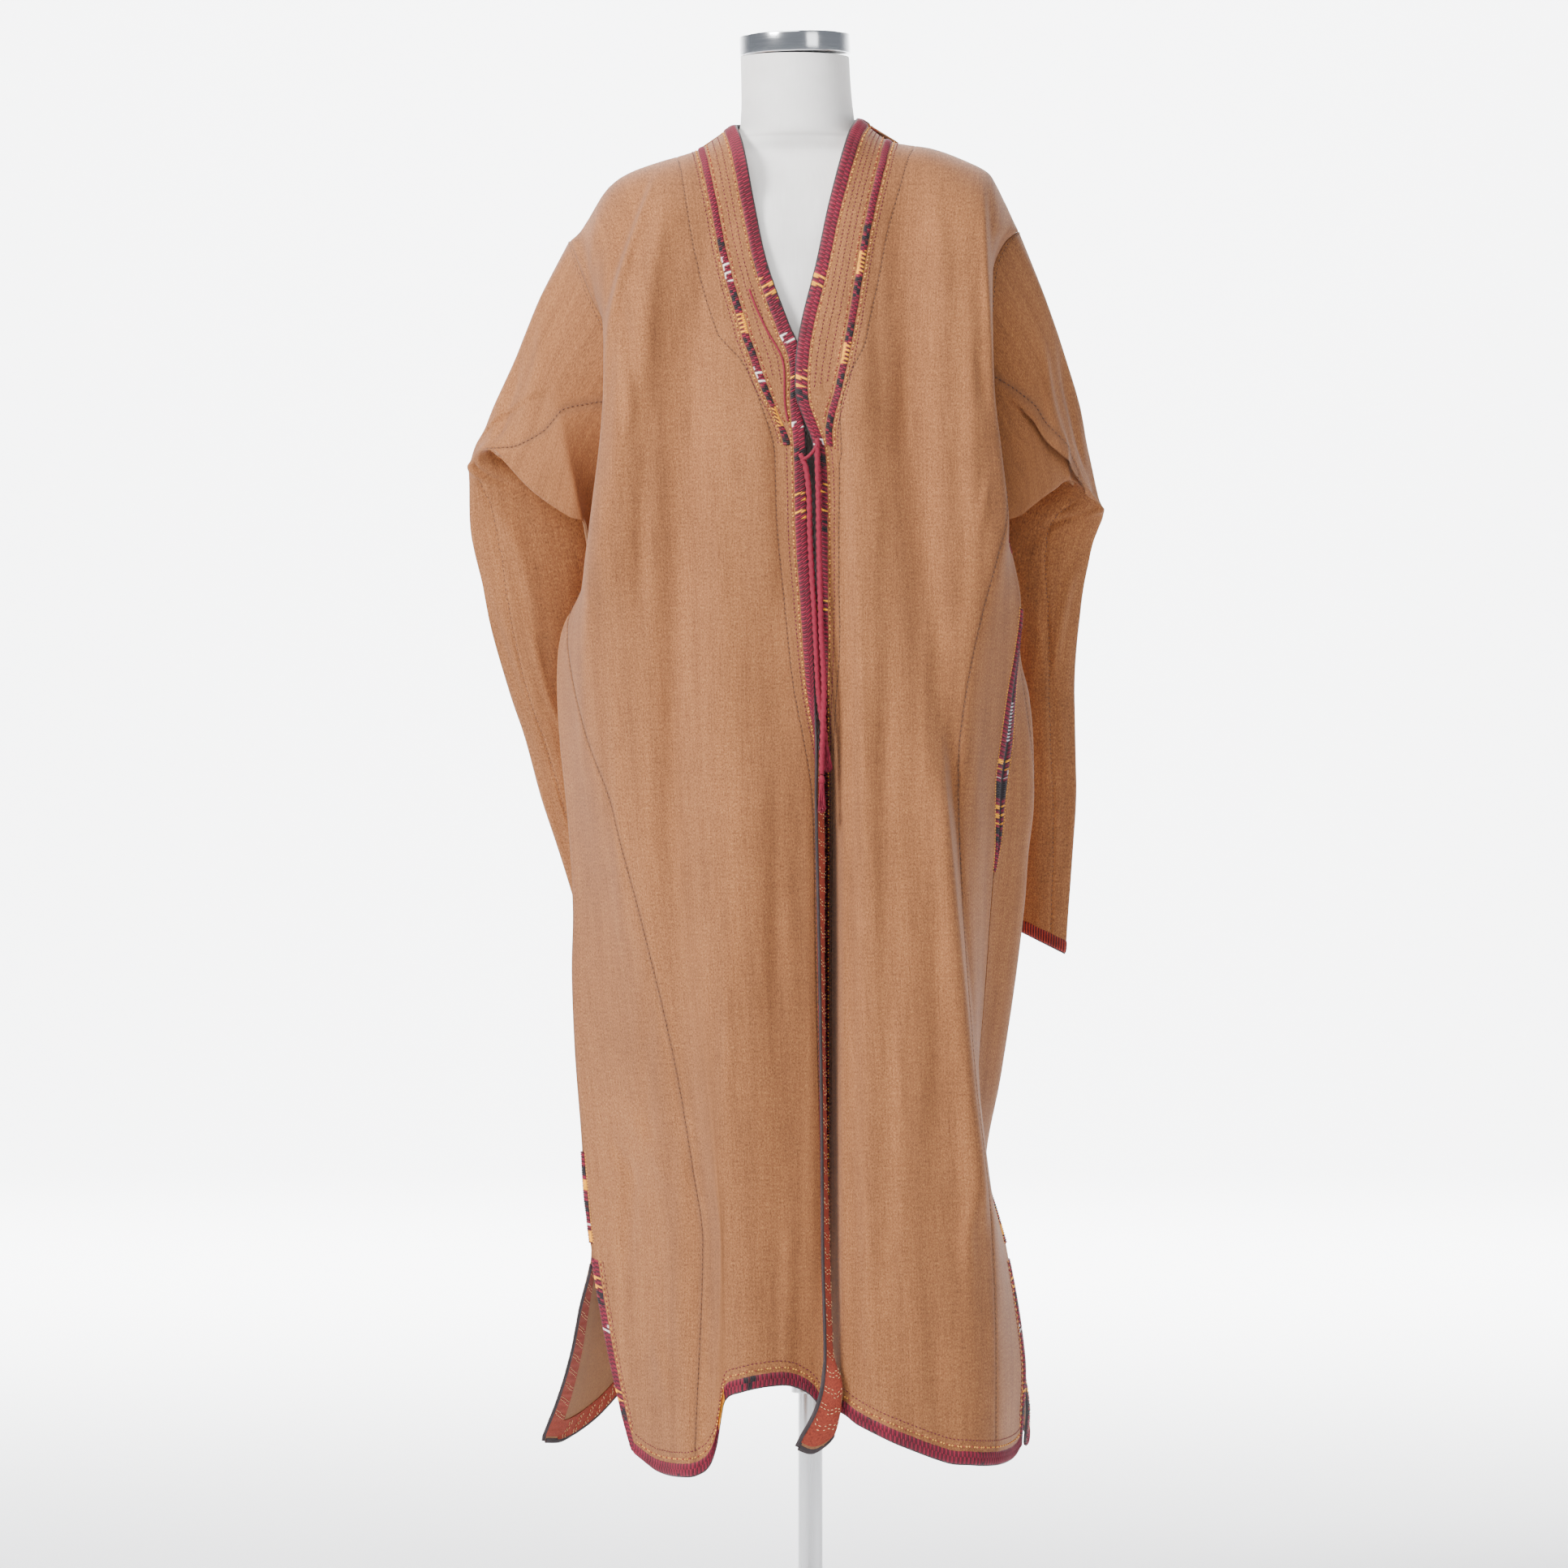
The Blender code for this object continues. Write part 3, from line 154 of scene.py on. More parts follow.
def new_material(name, rough, metal=0.0, sheen=0.0):
    """A material and the short way to add its nodes."""
    made = bpy.data.materials.new(name)
    made.use_nodes = True
    shader = made.node_tree.nodes["Principled BSDF"]
    shader.inputs["Roughness"].default_value = rough
    shader.inputs["Metallic"].default_value = metal
    shader.inputs["Sheen Weight"].default_value = sheen
    shader.inputs["Sheen Roughness"].default_value = 0.5
    return made, node_maker(made.node_tree)


def ramp(add, source, low, dark, high, light):
    """The colour from a ramp that runs from dark at low to light at high."""
    node = add("ValToRGB", Fac=source)
    for end, position, colour in ((0, low, dark), (1, high, light)):
        node.color_ramp.elements[end].position = position
        node.color_ramp.elements[end].color = (*colour, 1)
    return node.outputs[0]


def grained(add, source, scale, detail=3.0, rough=0.5):
    """Noise that is stretched one way, as threads and brush marks are."""
    lie = add("Mapping", {"Scale": scale}, Vector=source)
    return add("TexNoise", {"Scale": 1.0, "Detail": detail, "Roughness": rough}, Vector=lie.outputs[0])


def surfaced(made, add, colour, height=None, strength=0.0, relief=0.0004):
    """Gives a material its colour, and a bump of so many metres from a height."""
    tree = made.node_tree
    shader = tree.nodes["Principled BSDF"]
    tree.links.new(colour, shader.inputs["Base Color"])
    if height is not None:
        bump = add("Bump", {"Strength": strength, "Distance": relief}, Height=height)
        tree.links.new(bump.outputs[0], shader.inputs["Normal"])
    return made


def dress(piece, node=None):
    """Fixes a finished piece to the part, and hides the solid it stands for."""
    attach(piece, "root")
    if node:
        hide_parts(node)
    return piece


def wool_yarn(name, dark, light):
    """Dyed wool yarn: fine uneven shade with fuzzy relief."""
    made, add = new_material(name, 0.85, 0, 0.04)
    fibre = add("TexNoise", {"Scale": 900.0, "Detail": 3.0}, Vector=add("TexCoord").outputs["Object"])
    shade = add("MixRGB", {"Color1": (*dark, 1), "Color2": (*light, 1)}, Fac=fibre.outputs["Fac"])
    return surfaced(made, add, shade.outputs[0], fibre.outputs["Fac"], 0.5)


crimson_yarn = wool_yarn("crimson_cord_wool", (0.10, 0.002, 0.011), (0.32, 0.005, 0.034))
for side, tie in TIES.items():
    route = np.array(tie["route"], float)
    marks = run_of(route)
    count = int(marks[-1])
    along = np.linspace(0, marks[-1], count + 1)
    middle = np.stack([smooth(marks, route[:, k], along) for k in range(3)], 1)
    ahead = unit(np.gradient(middle, axis=0))
    sideways = unit(np.cross(ahead, (0.0, 1.0, 0.0)))
    upward = np.cross(sideways, ahead)
    turns = np.arange(CORD_SIDES) / CORD_SIDES * 2 * math.pi
    ply = np.abs(np.cos(turns[None, :] - along[:, None] * math.pi / CORD_TWIST))
    radius = CORD_D / 2 * (0.66 + 0.34 * ply)
    radius[:2] *= 0.75
    ring = (middle[:, None, :] + radius[:, :, None] * (np.cos(turns)[None, :, None] * sideways[:, None, :]
                                                       + np.sin(turns)[None, :, None] * upward[:, None, :]))
    far = count * CORD_SIDES
    faces = grid_faces(count + 1, CORD_SIDES, ring=True, flip=True).tolist()
    faces += [list(range(CORD_SIDES)), list(range(far + CORD_SIDES - 1, far - 1, -1))]
    tie["cord"] = mesh_piece(f"{side}_tie_cord", ring.reshape(-1, 3), faces, crimson_yarn)
    tie["path"] = middle


# Tassels. Each cord ends in a skein of the same crimson wool, folded over and bound round its neck with a few
# turns of thread, and the cut ends hang loose and a little uneven.
TASSELS = {"right": {"fall": 40, "spread": 4.2, "lean": (3.0, 0.0)},
           "left": {"fall": 38, "spread": 3.8, "lean": (0.0, -0.5)}}
STRANDS = 46
STRAND_R = 0.42
FILL_TURN = 2.399963  # radians from one strand to the next, which fills the round evenly
NECK_R = 1.9  # of the skein inside its binding


def tube(path, radius, sides):
    """Points and faces of a thin round strand along a path, closed at both ends."""
    ahead = unit(np.gradient(path, axis=0))
    sideways = unit(np.cross(ahead, (0.13, 1.0, 0.21)))
    upward = np.cross(sideways, ahead)
    turns = np.arange(sides) / sides * 2 * math.pi
    ring = (path[:, None, :] + np.asarray(radius).reshape(-1, 1, 1)
            * (np.cos(turns)[None, :, None] * sideways[:, None, :] + np.sin(turns)[None, :, None] * upward[:, None, :]))
    n = len(path)
    faces = grid_faces(n, sides, ring=True, flip=True).tolist()
    faces += [list(range(sides)), list(range(n * sides - 1, (n - 1) * sides - 1, -1))]
    return ring.reshape(-1, 3), faces


def joined(parts):
    """One list of points and faces from several."""
    points, faces, start = [], [], 0
    for part_points, part_faces in parts:
        points.append(np.asarray(part_points))
        faces += [[start + k for k in face] for face in part_faces]
        start += len(part_points)
    return np.concatenate(points), faces


for side, tassel in TASSELS.items():
    tie = TIES[side]
    top = tie["path"][-1] + np.array((0, 0, -0.2))
    parts = []
    for k in range(STRANDS):
        angle = FILL_TURN * k
        reach = math.sqrt((k + 0.5) / STRANDS)
        away = np.array((math.cos(angle), math.sin(angle), 0)) * reach
        fall = tassel["fall"] * (0.84 + 0.14 * math.sin(3.7 * k) * math.cos(1.3 * k))
        t = np.linspace(0, 1, 7)[:, None]
        spread = NECK_R * np.minimum(1, t * 5) + (tassel["spread"] - NECK_R) * np.clip(t - 0.2, 0, 1) ** 1.2
        sway = np.array((math.sin(2.1 * k), math.cos(2.7 * k), 0)) * 0.9 * np.sin(t * 6 + k)
        lean = np.array((*tassel["lean"], 0)) * t ** 1.5
        path = top + away * spread + sway * t + lean - np.array((0, 0, 1)) * fall * t
        parts.append(tube(path, np.full(7, STRAND_R), 4))
    for k in range(4):
        turns = np.linspace(0, 2 * math.pi, 15)
        band = np.stack([2.5 * np.cos(turns), 2.5 * np.sin(turns), np.full(15, -5.4 - 0.75 * k)], 1) + top
        parts.append(tube(band, np.full(15, STRAND_R), 5))
    head = np.linspace(0, 1, 8)
    dome = np.array([(0, 0, -6.6)]) * head[:, None] + top
    parts.append(tube(dome, 0.6 + 2.3 * np.sqrt(np.sin(np.clip(head, 0.02, 1) * math.pi * 0.62)), 14))
    points, faces = joined(parts)
    skein = mesh_piece(f"{side}_tassel_skein", points, faces, crimson_yarn)
    dress(skein, f"{side}_tassel")
    dress(tie["cord"], f"{side}_tie")
    tuple(np.array(tie["route"][0]) * MM)


# Fronts. Each front is one length of camel wool, woven plain and narrow, shaped only by the turned V of the neck
# and the curve of its hem. It hangs from the shoulder, and its folds are the soft ones of a heavy cloth.
# Where each front and the back meet below the armhole, as rows of height z, place x and depth y.
SIDE_SEAM = {
    "right": ((1040, -210, -24), (1032, -213, -23), (1018, -219, -22), (985, -235, -22), (947, -240, -22),
              (884, -238, -22), (813, -231, -22), (722, -225, -22), (661, -226, -22), (585, -223, -24),
              (509, -217, -28), (448, -213, -32), (396, -207, -39)),
    "left": ((1084, 182, -66), (1074, 184.5, -67.5), (1036, 194, -72), (1007, 198, -70), (963, 195, -66),
             (925, 190, -64), (875, 184, -62), (840, 179, -62), (784, 176, -62), (750, 172, -62), (644, 164, -66),
             (558, 157, -72), (513, 158, -72), (472, 164, -64), (433, 176, -54), (396, 186, -46)),
}
# Guide lines of the fronts, each a share of the panel's width, then rows of height z, place x and depth y.
# The fold is where the panel's edge turns, the ridge is its big outer fold, and the side is armhole and side seam.
FRONT = {
    "right": {
        "edge": (0.0, ((1463, -73, -86), (1440, -66, -88), (1383, -55, -92), (1326, -43, -109), (1269, -23, -121),
                       (1238, -11, -127), (1193, -10, -131), (1159, -7, -134), (1070, -5, -139), (1007, -1, -143),
                       (930, 2, -147), (870, 4, -150), (813, 4, -152), (661, 7, -154), (509, 9, -157),
                       (400, 10, -163), (313, 12, -175), (289, 11, -180), (276, 9, -182), (260, 4, -184),
                       (248, -2, -186), (238, -8, -187), (226, -14, -188))),
        "fold": (0.08, ((1463, -88, -82), (1383, -74, -93), (1326, -62, -110), (1269, -42, -122), (1193, -29, -132),
                        (1070, -22, -140), (1007, -14, -143), (930, -5, -144), (870, 5, -143), (813, 10, -142),
                        (661, 10, -144), (509, 12, -147), (400, 15, -152), (313, 18, -164), (301, 21, -167),
                        (289, 26, -170), (276, 28, -171), (260, 26, -171), (240, 21, -172), (224, 14, -173))),
        "turn": (0.13, ((1463, -94, -82), (1383, -80, -93), (1269, -50, -122), (1193, -38, -132), (1070, -31, -141),
                        (930, -17, -146), (870, -10, -147), (813, -7, -147), (661, -4, -149), (509, -2, -152),
                        (400, 0, -155), (313, 3, -158), (289, 6, -158), (270, 5, -159), (240, 1, -160))),
        "middle": (0.45, ((1434, -125, -80), (1383, -120, -93), (1269, -108, -121), (1159, -104, -137),
                          (1007, -98, -148), (813, -92, -158), (661, -84, -163), (509, -77, -166), (357, -72, -168),
                          (200, -70, -170))),
        "ridge": (0.80, ((1429, -150, -76), (1391, -170, -80), (1353, -182, -88), (1315, -188, -97),
                         (1269, -190, -105), (1207, -191, -112), (1161, -194, -116), (1114, -199, -119),
                         (1075, -203, -119), (1036, -206, -112), (980, -203, -104), (908, -197, -101),
                         (812, -185, -104), (710, -160, -118), (583, -130, -137), (470, -110, -148),
                         (414, -102, -152), (213, -108, -158))),
        "side": (1.0, ((1354, -229, -40), (1299, -208, -46), (1265, -191, -52), (1231, -186, -50), (1193, -184, -44),
                       (1150, -188, -36), (1079, -200, -28), *SIDE_SEAM["right"], (332, -196, -50),
                       (270, -183, -62), (217, -169, -76), (196, -160, -84))),
    },
    "left": {
        "edge": (0.0, ((1469, 47, -86), (1451, 38, -88), (1383, 19, -92), (1326, 7, -110), (1269, -7, -127),
                       (1235, -12, -135), (1200, -12, -139), (1178, -5, -139), (1157, 3, -138), (1117, 6, -138),
                       (1079, 6, -138), (1003, 7, -136), (965, 8, -132), (930, 9, -125), (889, 11, -114),
                       (813, 13, -102), (661, 14, -90), (357, 15, -84), (257, 15, -82))),
        "fold": (0.08, ((1469, 62, -82), (1383, 38, -93), (1326, 26, -111), (1269, 13, -128), (1235, 8, -136),
                        (1200, 8, -140), (1157, 20, -139), (1079, 24, -142), (1003, 26, -145), (930, 30, -149),
                        (813, 31, -152), (509, 30, -158), (357, 30, -161), (257, 28, -163))),
        "middle": (0.45, ((1443, 100, -80), (1383, 96, -93), (1269, 88, -121), (1159, 88, -137), (1007, 96, -148),
                          (813, 98, -158), (661, 104, -164), (509, 112, -168), (357, 118, -170), (200, 120, -172))),
        "ridge": (0.80, ((1410, 160, -76), (1383, 163, -80), (1322, 165, -97), (1208, 168, -112), (1147, 175, -117),
                         (1084, 180, -120), (1050, 174, -124), (997, 160, -128), (930, 146, -132), (863, 138, -136),
                         (761, 140, -138), (659, 146, -140), (558, 154, -142), (491, 162, -140), (433, 168, -136),
                         (327, 172, -134), (207, 172, -136))),
        "side": (1.0, ((1363, 198, -34), (1350, 184, -40), (1322, 172, -46), (1208, 166, -50), (1147, 171, -56),
                       *SIDE_SEAM["left"], (357, 194, -40), (310, 201, -34), (281, 203, -32), (214, 199, -30))),
    },
}
# The shoulder line, from the neck out to the armhole, as rows of x and height.
SHOULDER = {
    "right": ((-229, 1353), (-219, 1362), (-212, 1372), (-205, 1384), (-198, 1395), (-190, 1406), (-172, 1418),
              (-142, 1429), (-118, 1436), (-104, 1441), (-88, 1452), (-73, 1463)),
    "left": ((47, 1469), (60, 1458), (73, 1449), (84, 1446), (116, 1441), (146, 1430), (169, 1418), (176, 1407),
             (182, 1395), (188, 1383), (193, 1372), (198, 1362)),
}
# The hem over the panel's width, as rows of share and height.
HEM = {
    "right": ((0.0, 227), (0.04, 222), (0.08, 234), (0.105, 252), (0.13, 268), (0.18, 279), (0.25, 284),
              (0.42, 278), (0.53, 268), (0.58, 248), (0.62, 228), (0.68, 211), (0.75, 202), (0.85, 197),
              (0.94, 199), (1.0, 214)),
    "left": ((0.0, 259), (0.08, 258), (0.14, 248), (0.3, 229), (0.48, 213), (0.62, 210), (0.84, 207), (0.95, 208),
             (1.0, 215)),
}
# Where the front gore's seam lies, as rows of height and share: it starts as a point on the side seam.
GORE = {
    "right": ((1004, 1.0), (980, 0.955), (884, 0.87), (812, 0.80), (190, 0.80)),
    "left": ((1166, 1.0), (1137, 0.90), (1084, 0.82), (1040, 0.80), (190, 0.80)),
}
# The inner braid beside the neck, as rows of height and x.
BRAID_LINE = {
    "right": ((1443, -104), (1383, -91), (1326, -80), (1269, -64), (1231, -53), (1193, -37), (1159, -21)),
    "left": ((1449, 74), (1383, 58), (1326, 47), (1269, 38), (1231, 31), (1193, 23), (1162, 14)),
}
# Soft folds of the fronts: heights and x of the line's two ends and middle, half width, then how far the cloth
# comes forward on the line and how far it drops back behind a lipped fold.
FOLDS = {
    "right": (
        ("shoulder ridge", 1436, 1052, -122, -166, -194, 20, 6, 0),
        ("long trough", 1330, 205, -116, -124, -92, 24, -8, 0),
        ("edge ridge", 1240, 1040, -44, -46, -42, 20, 4, 0),
        ("centre ridge", 900, 285, -52, -54, -50, 30, 6, 0),
        ("gore ridge", 760, 200, -190, -178, -150, 26, 5, 0),
    ),
    "left": (
        ("inner ridge", 1280, 420, 46, 42, 52, 20, 6, 0),
        ("long trough", 1432, 850, 82, 96, 132, 22, -9, 0),
        ("lapped fold", 900, 470, 119, 139, 162, 16, 9, 9),
        ("middle ridge", 800, 215, 92, 96, 98, 26, 5, 0),
        ("low ridge", 410, 240, 40, 56, 74, 14, 3, 0),
    ),
}
UNDERARM = {"right": 1046.0, "left": 1086.0}
WALL = 1.4  # the woven cloth
ROLL = 62.0  # how far below the shoulder line the cloth has turned down
# Finer creases: heights and x of the two ends, x of the middle, half width, and how far the cloth comes forward.
# An eighth number says how far the cloth outside the crease lies back, where the panel laps over its own shoulder.
CREASES = {
    "right": (
        (1420, 1180, -133, -149, -158, 7, 1.3), (1396, 1090, -98, -104, -110, 9, -1.5),
        (1330, 1010, -176, -181, -186, 7, 1.5), (1225, 880, -150, -158, -163, 8, -1.6),
        (1120, 905, -88, -83, -80, 10, 1.3), (1062, 830, -205, -214, -216, 6, 1.4),
        (1040, 700, -132, -128, -126, 9, -1.5), (968, 640, -186, -180, -176, 7, 1.2),
        (900, 500, -36, -33, -30, 8, -1.3), (760, 350, -76, -80, -86, 9, 1.4),
        (690, 430, -148, -152, -150, 8, -1.4), (560, 240, -116, -122, -120, 9, 1.6),
        (520, 330, -166, -170, -176, 8, -1.5), (470, 235, -20, -22, -24, 7, 1.2),
        (540, 452, -178, -150, -128, 9, 1.8), (520, 440, -196, -172, -150, 7, -1.3),
        (1300, 1215, -180, -171, -167, 5, -1.6), (1240, 1150, -176, -169, -172, 5, 1.4),
        (1130, 1030, -190, -184, -196, 6, -1.5), (330, 232, -60, -62, -66, 6, 1.2),
        (330, 250, -146, -140, -138, 7, 1.3), (1432, 1130, -138, -186, -197, 5, 2.4, 9)),
    "left": (
        (1425, 1240, 112, 122, 130, 8, 1.4), (1400, 1120, 58, 62, 64, 8, -1.3),
        (1330, 1040, 148, 152, 150, 7, 1.5), (1290, 1120, 96, 90, 86, 10, -1.2),
        (1190, 940, 132, 140, 138, 8, -1.6), (1145, 890, 62, 60, 66, 9, 1.5),
        (1060, 760, 112, 108, 104, 8, 1.2), (1010, 640, 72, 68, 64, 9, -1.3),
        (940, 560, 152, 158, 160, 7, 1.3), (860, 500, 56, 60, 66, 8, 1.4),
        (780, 420, 120, 116, 120, 9, -1.4), (700, 300, 84, 82, 88, 7, 1.2),
        (600, 260, 140, 146, 150, 8, 1.3), (520, 235, 36, 42, 44, 7, -1.4),
        (440, 225, 104, 112, 116, 8, -1.3), (380, 230, 168, 172, 176, 7, 1.3),
        (1262, 1180, 152, 158, 160, 5, -1.4), (1130, 1060, 166, 160, 156, 5, 1.2),
        (470, 380, 158, 146, 150, 7, 1.5), (1425, 1090, 160, 168, 184, 5, 2.4, 9)),
}
ROWS = 330
COLUMNS = 340
CROWDING = 1.3  # over 1, the net's rows lie closer together at the shoulder


def track(rows, x, column):
    """A column of a table at x, which is the table's first column."""
    ordered = sorted(rows, key=lambda row: row[0])
    return smooth([row[0] for row in ordered], [row[column] for row in ordered], x)


def ease(t):
    """A soft step from 0 to 1."""
    t = np.clip(t, 0.0, 1.0)
    return t * t * (3 - 2 * t)


FOLD_DEPTH = 1.5  # the cloth itself folds a little deeper than its solid


def fold_push(folds, creases, x, z, mirrored):
    """How far the folds and creases move the cloth back, along +Y for the fronts."""
    moved = np.zeros_like(x)
    for _, high, low, x_high, x_mid, x_low, wide, forward, drop in folds:
        line = smooth([0, 0.5, 1], [x_high, x_mid, x_low], (high - z) / (high - low))
        strength = ease((high - z) / 90) * ease((z - low + 60) / 60 if low > 300 else np.ones_like(z))
        off = (x - line) * (-1 if mirrored else 1)
        ridge = -strength * forward * np.exp(-((off / wide) ** 2))
        if drop:
            past = strength * (drop * np.exp(-np.abs(off) / wide) * ease(off / 8) - forward * (1 - ease(off / 8)))
            ridge = np.where(off > 0, past, ridge)
        moved += ridge * FOLD_DEPTH
    for high, low, x_high, x_mid, x_low, wide, forward, *back in creases:
        t = (high - z) / (high - low)
        line = smooth([0, 0.5, 1], [x_high, x_mid, x_low], t)
        strength = ease(t / 0.35) * ease((1 - t) / 0.4)
        wander = 1.9 + 0.6 * np.sin(z / 31 + x_mid)
        moved -= strength * forward * wander * np.exp(-(((x - line) / (wide * (0.85 + 0.3 * np.clip(t, 0, 1)))) ** 2))
        if back:
            moved += ease(t / 0.2) * ease((1 - t) / 0.5) * back[0] * ease((x - line) * (-1 if mirrored else 1) / 7)
    moved += 0.35 * np.sin(x / 17.0 + np.sin(z / 57.0) * 1.6) * np.sin(z / 83.0 + x / 140)
    return moved


def across(guides, u, z):
    """The guides' place and depth at shares u of the width and heights z."""
    places = [g[0] for g in guides]
    x = smooth(places, np.stack([track(g[1], z, 1) for g in guides]), u)
    y = smooth(places, np.stack([track(g[1], z, 2) for g in guides]), u)
    return x, y


def shoulder_line(guides, shoulder_at):
    """Rows of share and height where the panel's lines meet the shoulder line."""
    share = np.linspace(0, 1, 51)
    high = np.full(51, 1420.0)
    for _ in range(40):
        x = across(guides, share, high)[0]
        high = high + 0.5 * (shoulder_at(share, x) - high)
    return list(zip(share, high))


def as_cloth(points, facing, warp_share, upright=True):
    """A net of points with outward directions, distances from its first edge and its straight warp."""
    out = unit(np.cross(np.gradient(points, axis=1), np.gradient(points, axis=0)))
    if out[ROWS // 2, COLUMNS // 2, 1] * facing < 0:
        out = -out
    span = np.linalg.norm(np.diff(points, axis=1), axis=2)
    along = np.concatenate([np.zeros((ROWS + 1, 1)), np.cumsum(span, axis=1)], axis=1)
    return {"points": points, "out": out, "share": np.linspace(0, 1, COLUMNS + 1), "along": along,
            "warp": along[:, round(warp_share * COLUMNS)], "upright": upright}


def surface(place, top, hem, facing, warp_share):
    """A panel as a fine net from its top line to its hem. It faces -Y where facing is -1, and +Y where it is 1."""
    u = np.linspace(0, 1, COLUMNS + 1)
    first, last = track(top, u, 1) - 0.0012, track(hem, u, 1)
    net = [place(u, first + (last - first) * (k / ROWS) ** CROWDING) for k in range(ROWS + 1)]
    return as_cloth(np.array(net), facing, warp_share)


def at(cloth, t, d):
    """Points and outward directions at shares t of the way down and distances d from the first edge."""
    t, d = np.broadcast_arrays(np.asarray(t, float), np.asarray(d, float))
    shape = t.shape
    t, d = t.ravel(), d.ravel()
    row = np.clip(t, 0, 1) * ROWS
    above = np.minimum(row.astype(int), ROWS - 1)
    low_share = (row - above)[:, None]
    found = []
    for r in (above, above + 1):
        j = np.empty(len(r), int)
        for start in range(0, len(r), 8000):
            part = slice(start, start + 8000)
            j[part] = (cloth["along"][r[part]] <= d[part, None]).sum(1) - 1
        j = np.clip(j, 0, COLUMNS - 1)
        low, high = cloth["along"][r, j], cloth["along"][r, j + 1]
        a = np.clip((d - low) / np.maximum(high - low, 1e-9), 0, 1)[:, None]
        found.append([cloth[key][r, j] * (1 - a) + cloth[key][r, j + 1] * a for key in ("points", "out")])
    point = found[0][0] * (1 - low_share) + found[1][0] * low_share
    out = unit(found[0][1] * (1 - low_share) + found[1][1] * low_share)
    return point.reshape(*shape, 3), out.reshape(*shape, 3)


def distance_of(cloth, share_rows):
    """The distance from the first edge of a seam given as shares, one for each row of the net."""
    return np.array([np.interp(s, cloth["share"], cloth["along"][k]) for k, s in enumerate(share_rows)])


def seam_shares(cloth, table, side_share):
    """A seam's share of the width in each row, from its rows of height and share."""
    share = np.full(ROWS + 1, float(side_share))
    for _ in range(6):
        z = np.array([np.interp(s, cloth["share"], cloth["points"][k, :, 2]) for k, s in enumerate(share)])
        share = track(table, z, 1)
    return share


def both_faces(shade):
    """The colours of a cloth's points: red is shade painted into the seams on its face, and green marks its back."""
    n = len(shade)
    seam_shade_and_back = np.zeros((2 * n, 4))
    seam_shade_and_back[:, 3] = 1
    seam_shade_and_back[:n, 0] = shade
    seam_shade_and_back[n:, 1] = 1
    return seam_shade_and_back


def shell(name, points, out, uv, shade, material, wall=WALL):
    """A closed thin shell: the cloth's face, its back one wall further in, and its cut edges."""
    rows, columns = points.shape[:2]
    n = rows * columns
    both = np.concatenate([points.reshape(-1, 3), (points - out * wall).reshape(-1, 3)])
    face = grid_faces(rows, columns, flip=True)
    under = grid_faces(rows, columns, start=n)
    side = np.cross(points[1, 1] - points[1, 0], points[2, 0] - points[1, 0]) @ out[1, 0]
    rim = []
    end = rows - 1
    for j in range(columns - 1):
        rim.append((j, j + 1, n + j + 1, n + j))
        a, b = end * columns + j, end * columns + j + 1
        rim.append((b, a, n + a, n + b))
    for i in range(rows - 1):
        a, b = i * columns, (i + 1) * columns
        rim.append((b, a, n + a, n + b))
        a, b = a + columns - 1, b + columns - 1
        rim.append((a, b, n + b, n + a))
    quads = np.concatenate([face, under, np.array(rim)])
    if side > 0:
        quads = quads[:, ::-1]
    flat = np.concatenate([uv.reshape(-1, 2)] * 2)
    return mesh_piece(name, both, quads, material, flat, both_faces(shade.ravel()), sharp=60)


def down_cloth(t, values):
    """What holds at shares t of the way down, from a value for each row of a net."""
    return np.interp(t * ROWS, np.arange(ROWS + 1), values)


def flat_area(points):
    """The area of a net of points, in square metres."""
    a = points[1:, 1:] - points[:-1, :-1]
    b = points[1:, :-1] - points[:-1, 1:]
    return float(np.linalg.norm(np.cross(a, b), axis=2).sum() / 2) * MM * MM


def panel(name, cloth, left, right, t_rows, columns, material, fine=(), grooves=()):
    """A piece of the net between two seams, given as distances for each of its rows."""
    t = np.asarray(t_rows)
    first, last = down_cloth(t, left), down_cloth(t, right)
    stops = [first[:, None] + (last - first)[:, None] * (np.arange(columns + 1) / columns)[None, :]]
    for seam in fine:
        place = down_cloth(t, seam)
        stops.append(np.stack([np.clip(place + k, first + 0.01, last - 0.01)
                               for k in (-2.6, -1.3, -0.5, 0, 0.5, 1.3, 2.6)], 1))
    d = np.sort(np.concatenate(stops, axis=1), axis=1)
    points, out = at(cloth, t[:, None], d)
    sink = np.zeros(d.shape)
    shade = np.zeros(d.shape)
    # Each seam groove sinks the cloth and is also painted with shade in the colour.
    for seam, deep, wide in grooves:
        place = down_cloth(t, seam)[:, None]
        groove = np.exp(-((d - place) / wide) ** 2)
        sink += deep * groove
        shade = np.maximum(shade, groove)
    points = points - out * sink[:, :, None]
    down = np.concatenate([np.zeros((1, d.shape[1])),
                           np.cumsum(np.linalg.norm(np.diff(points, axis=0), axis=2), axis=0)])
    middle = down_cloth(t, cloth["warp"])[:, None]
    uv = np.stack([d - middle, points[:, :, 2] if cloth["upright"] else -down], axis=2)
    made = shell(name, points, out, uv, shade, material)
    return made, flat_area(points), float(d[:, -1].max() - d[:, 0].min()) * MM, float(down.max()) * MM


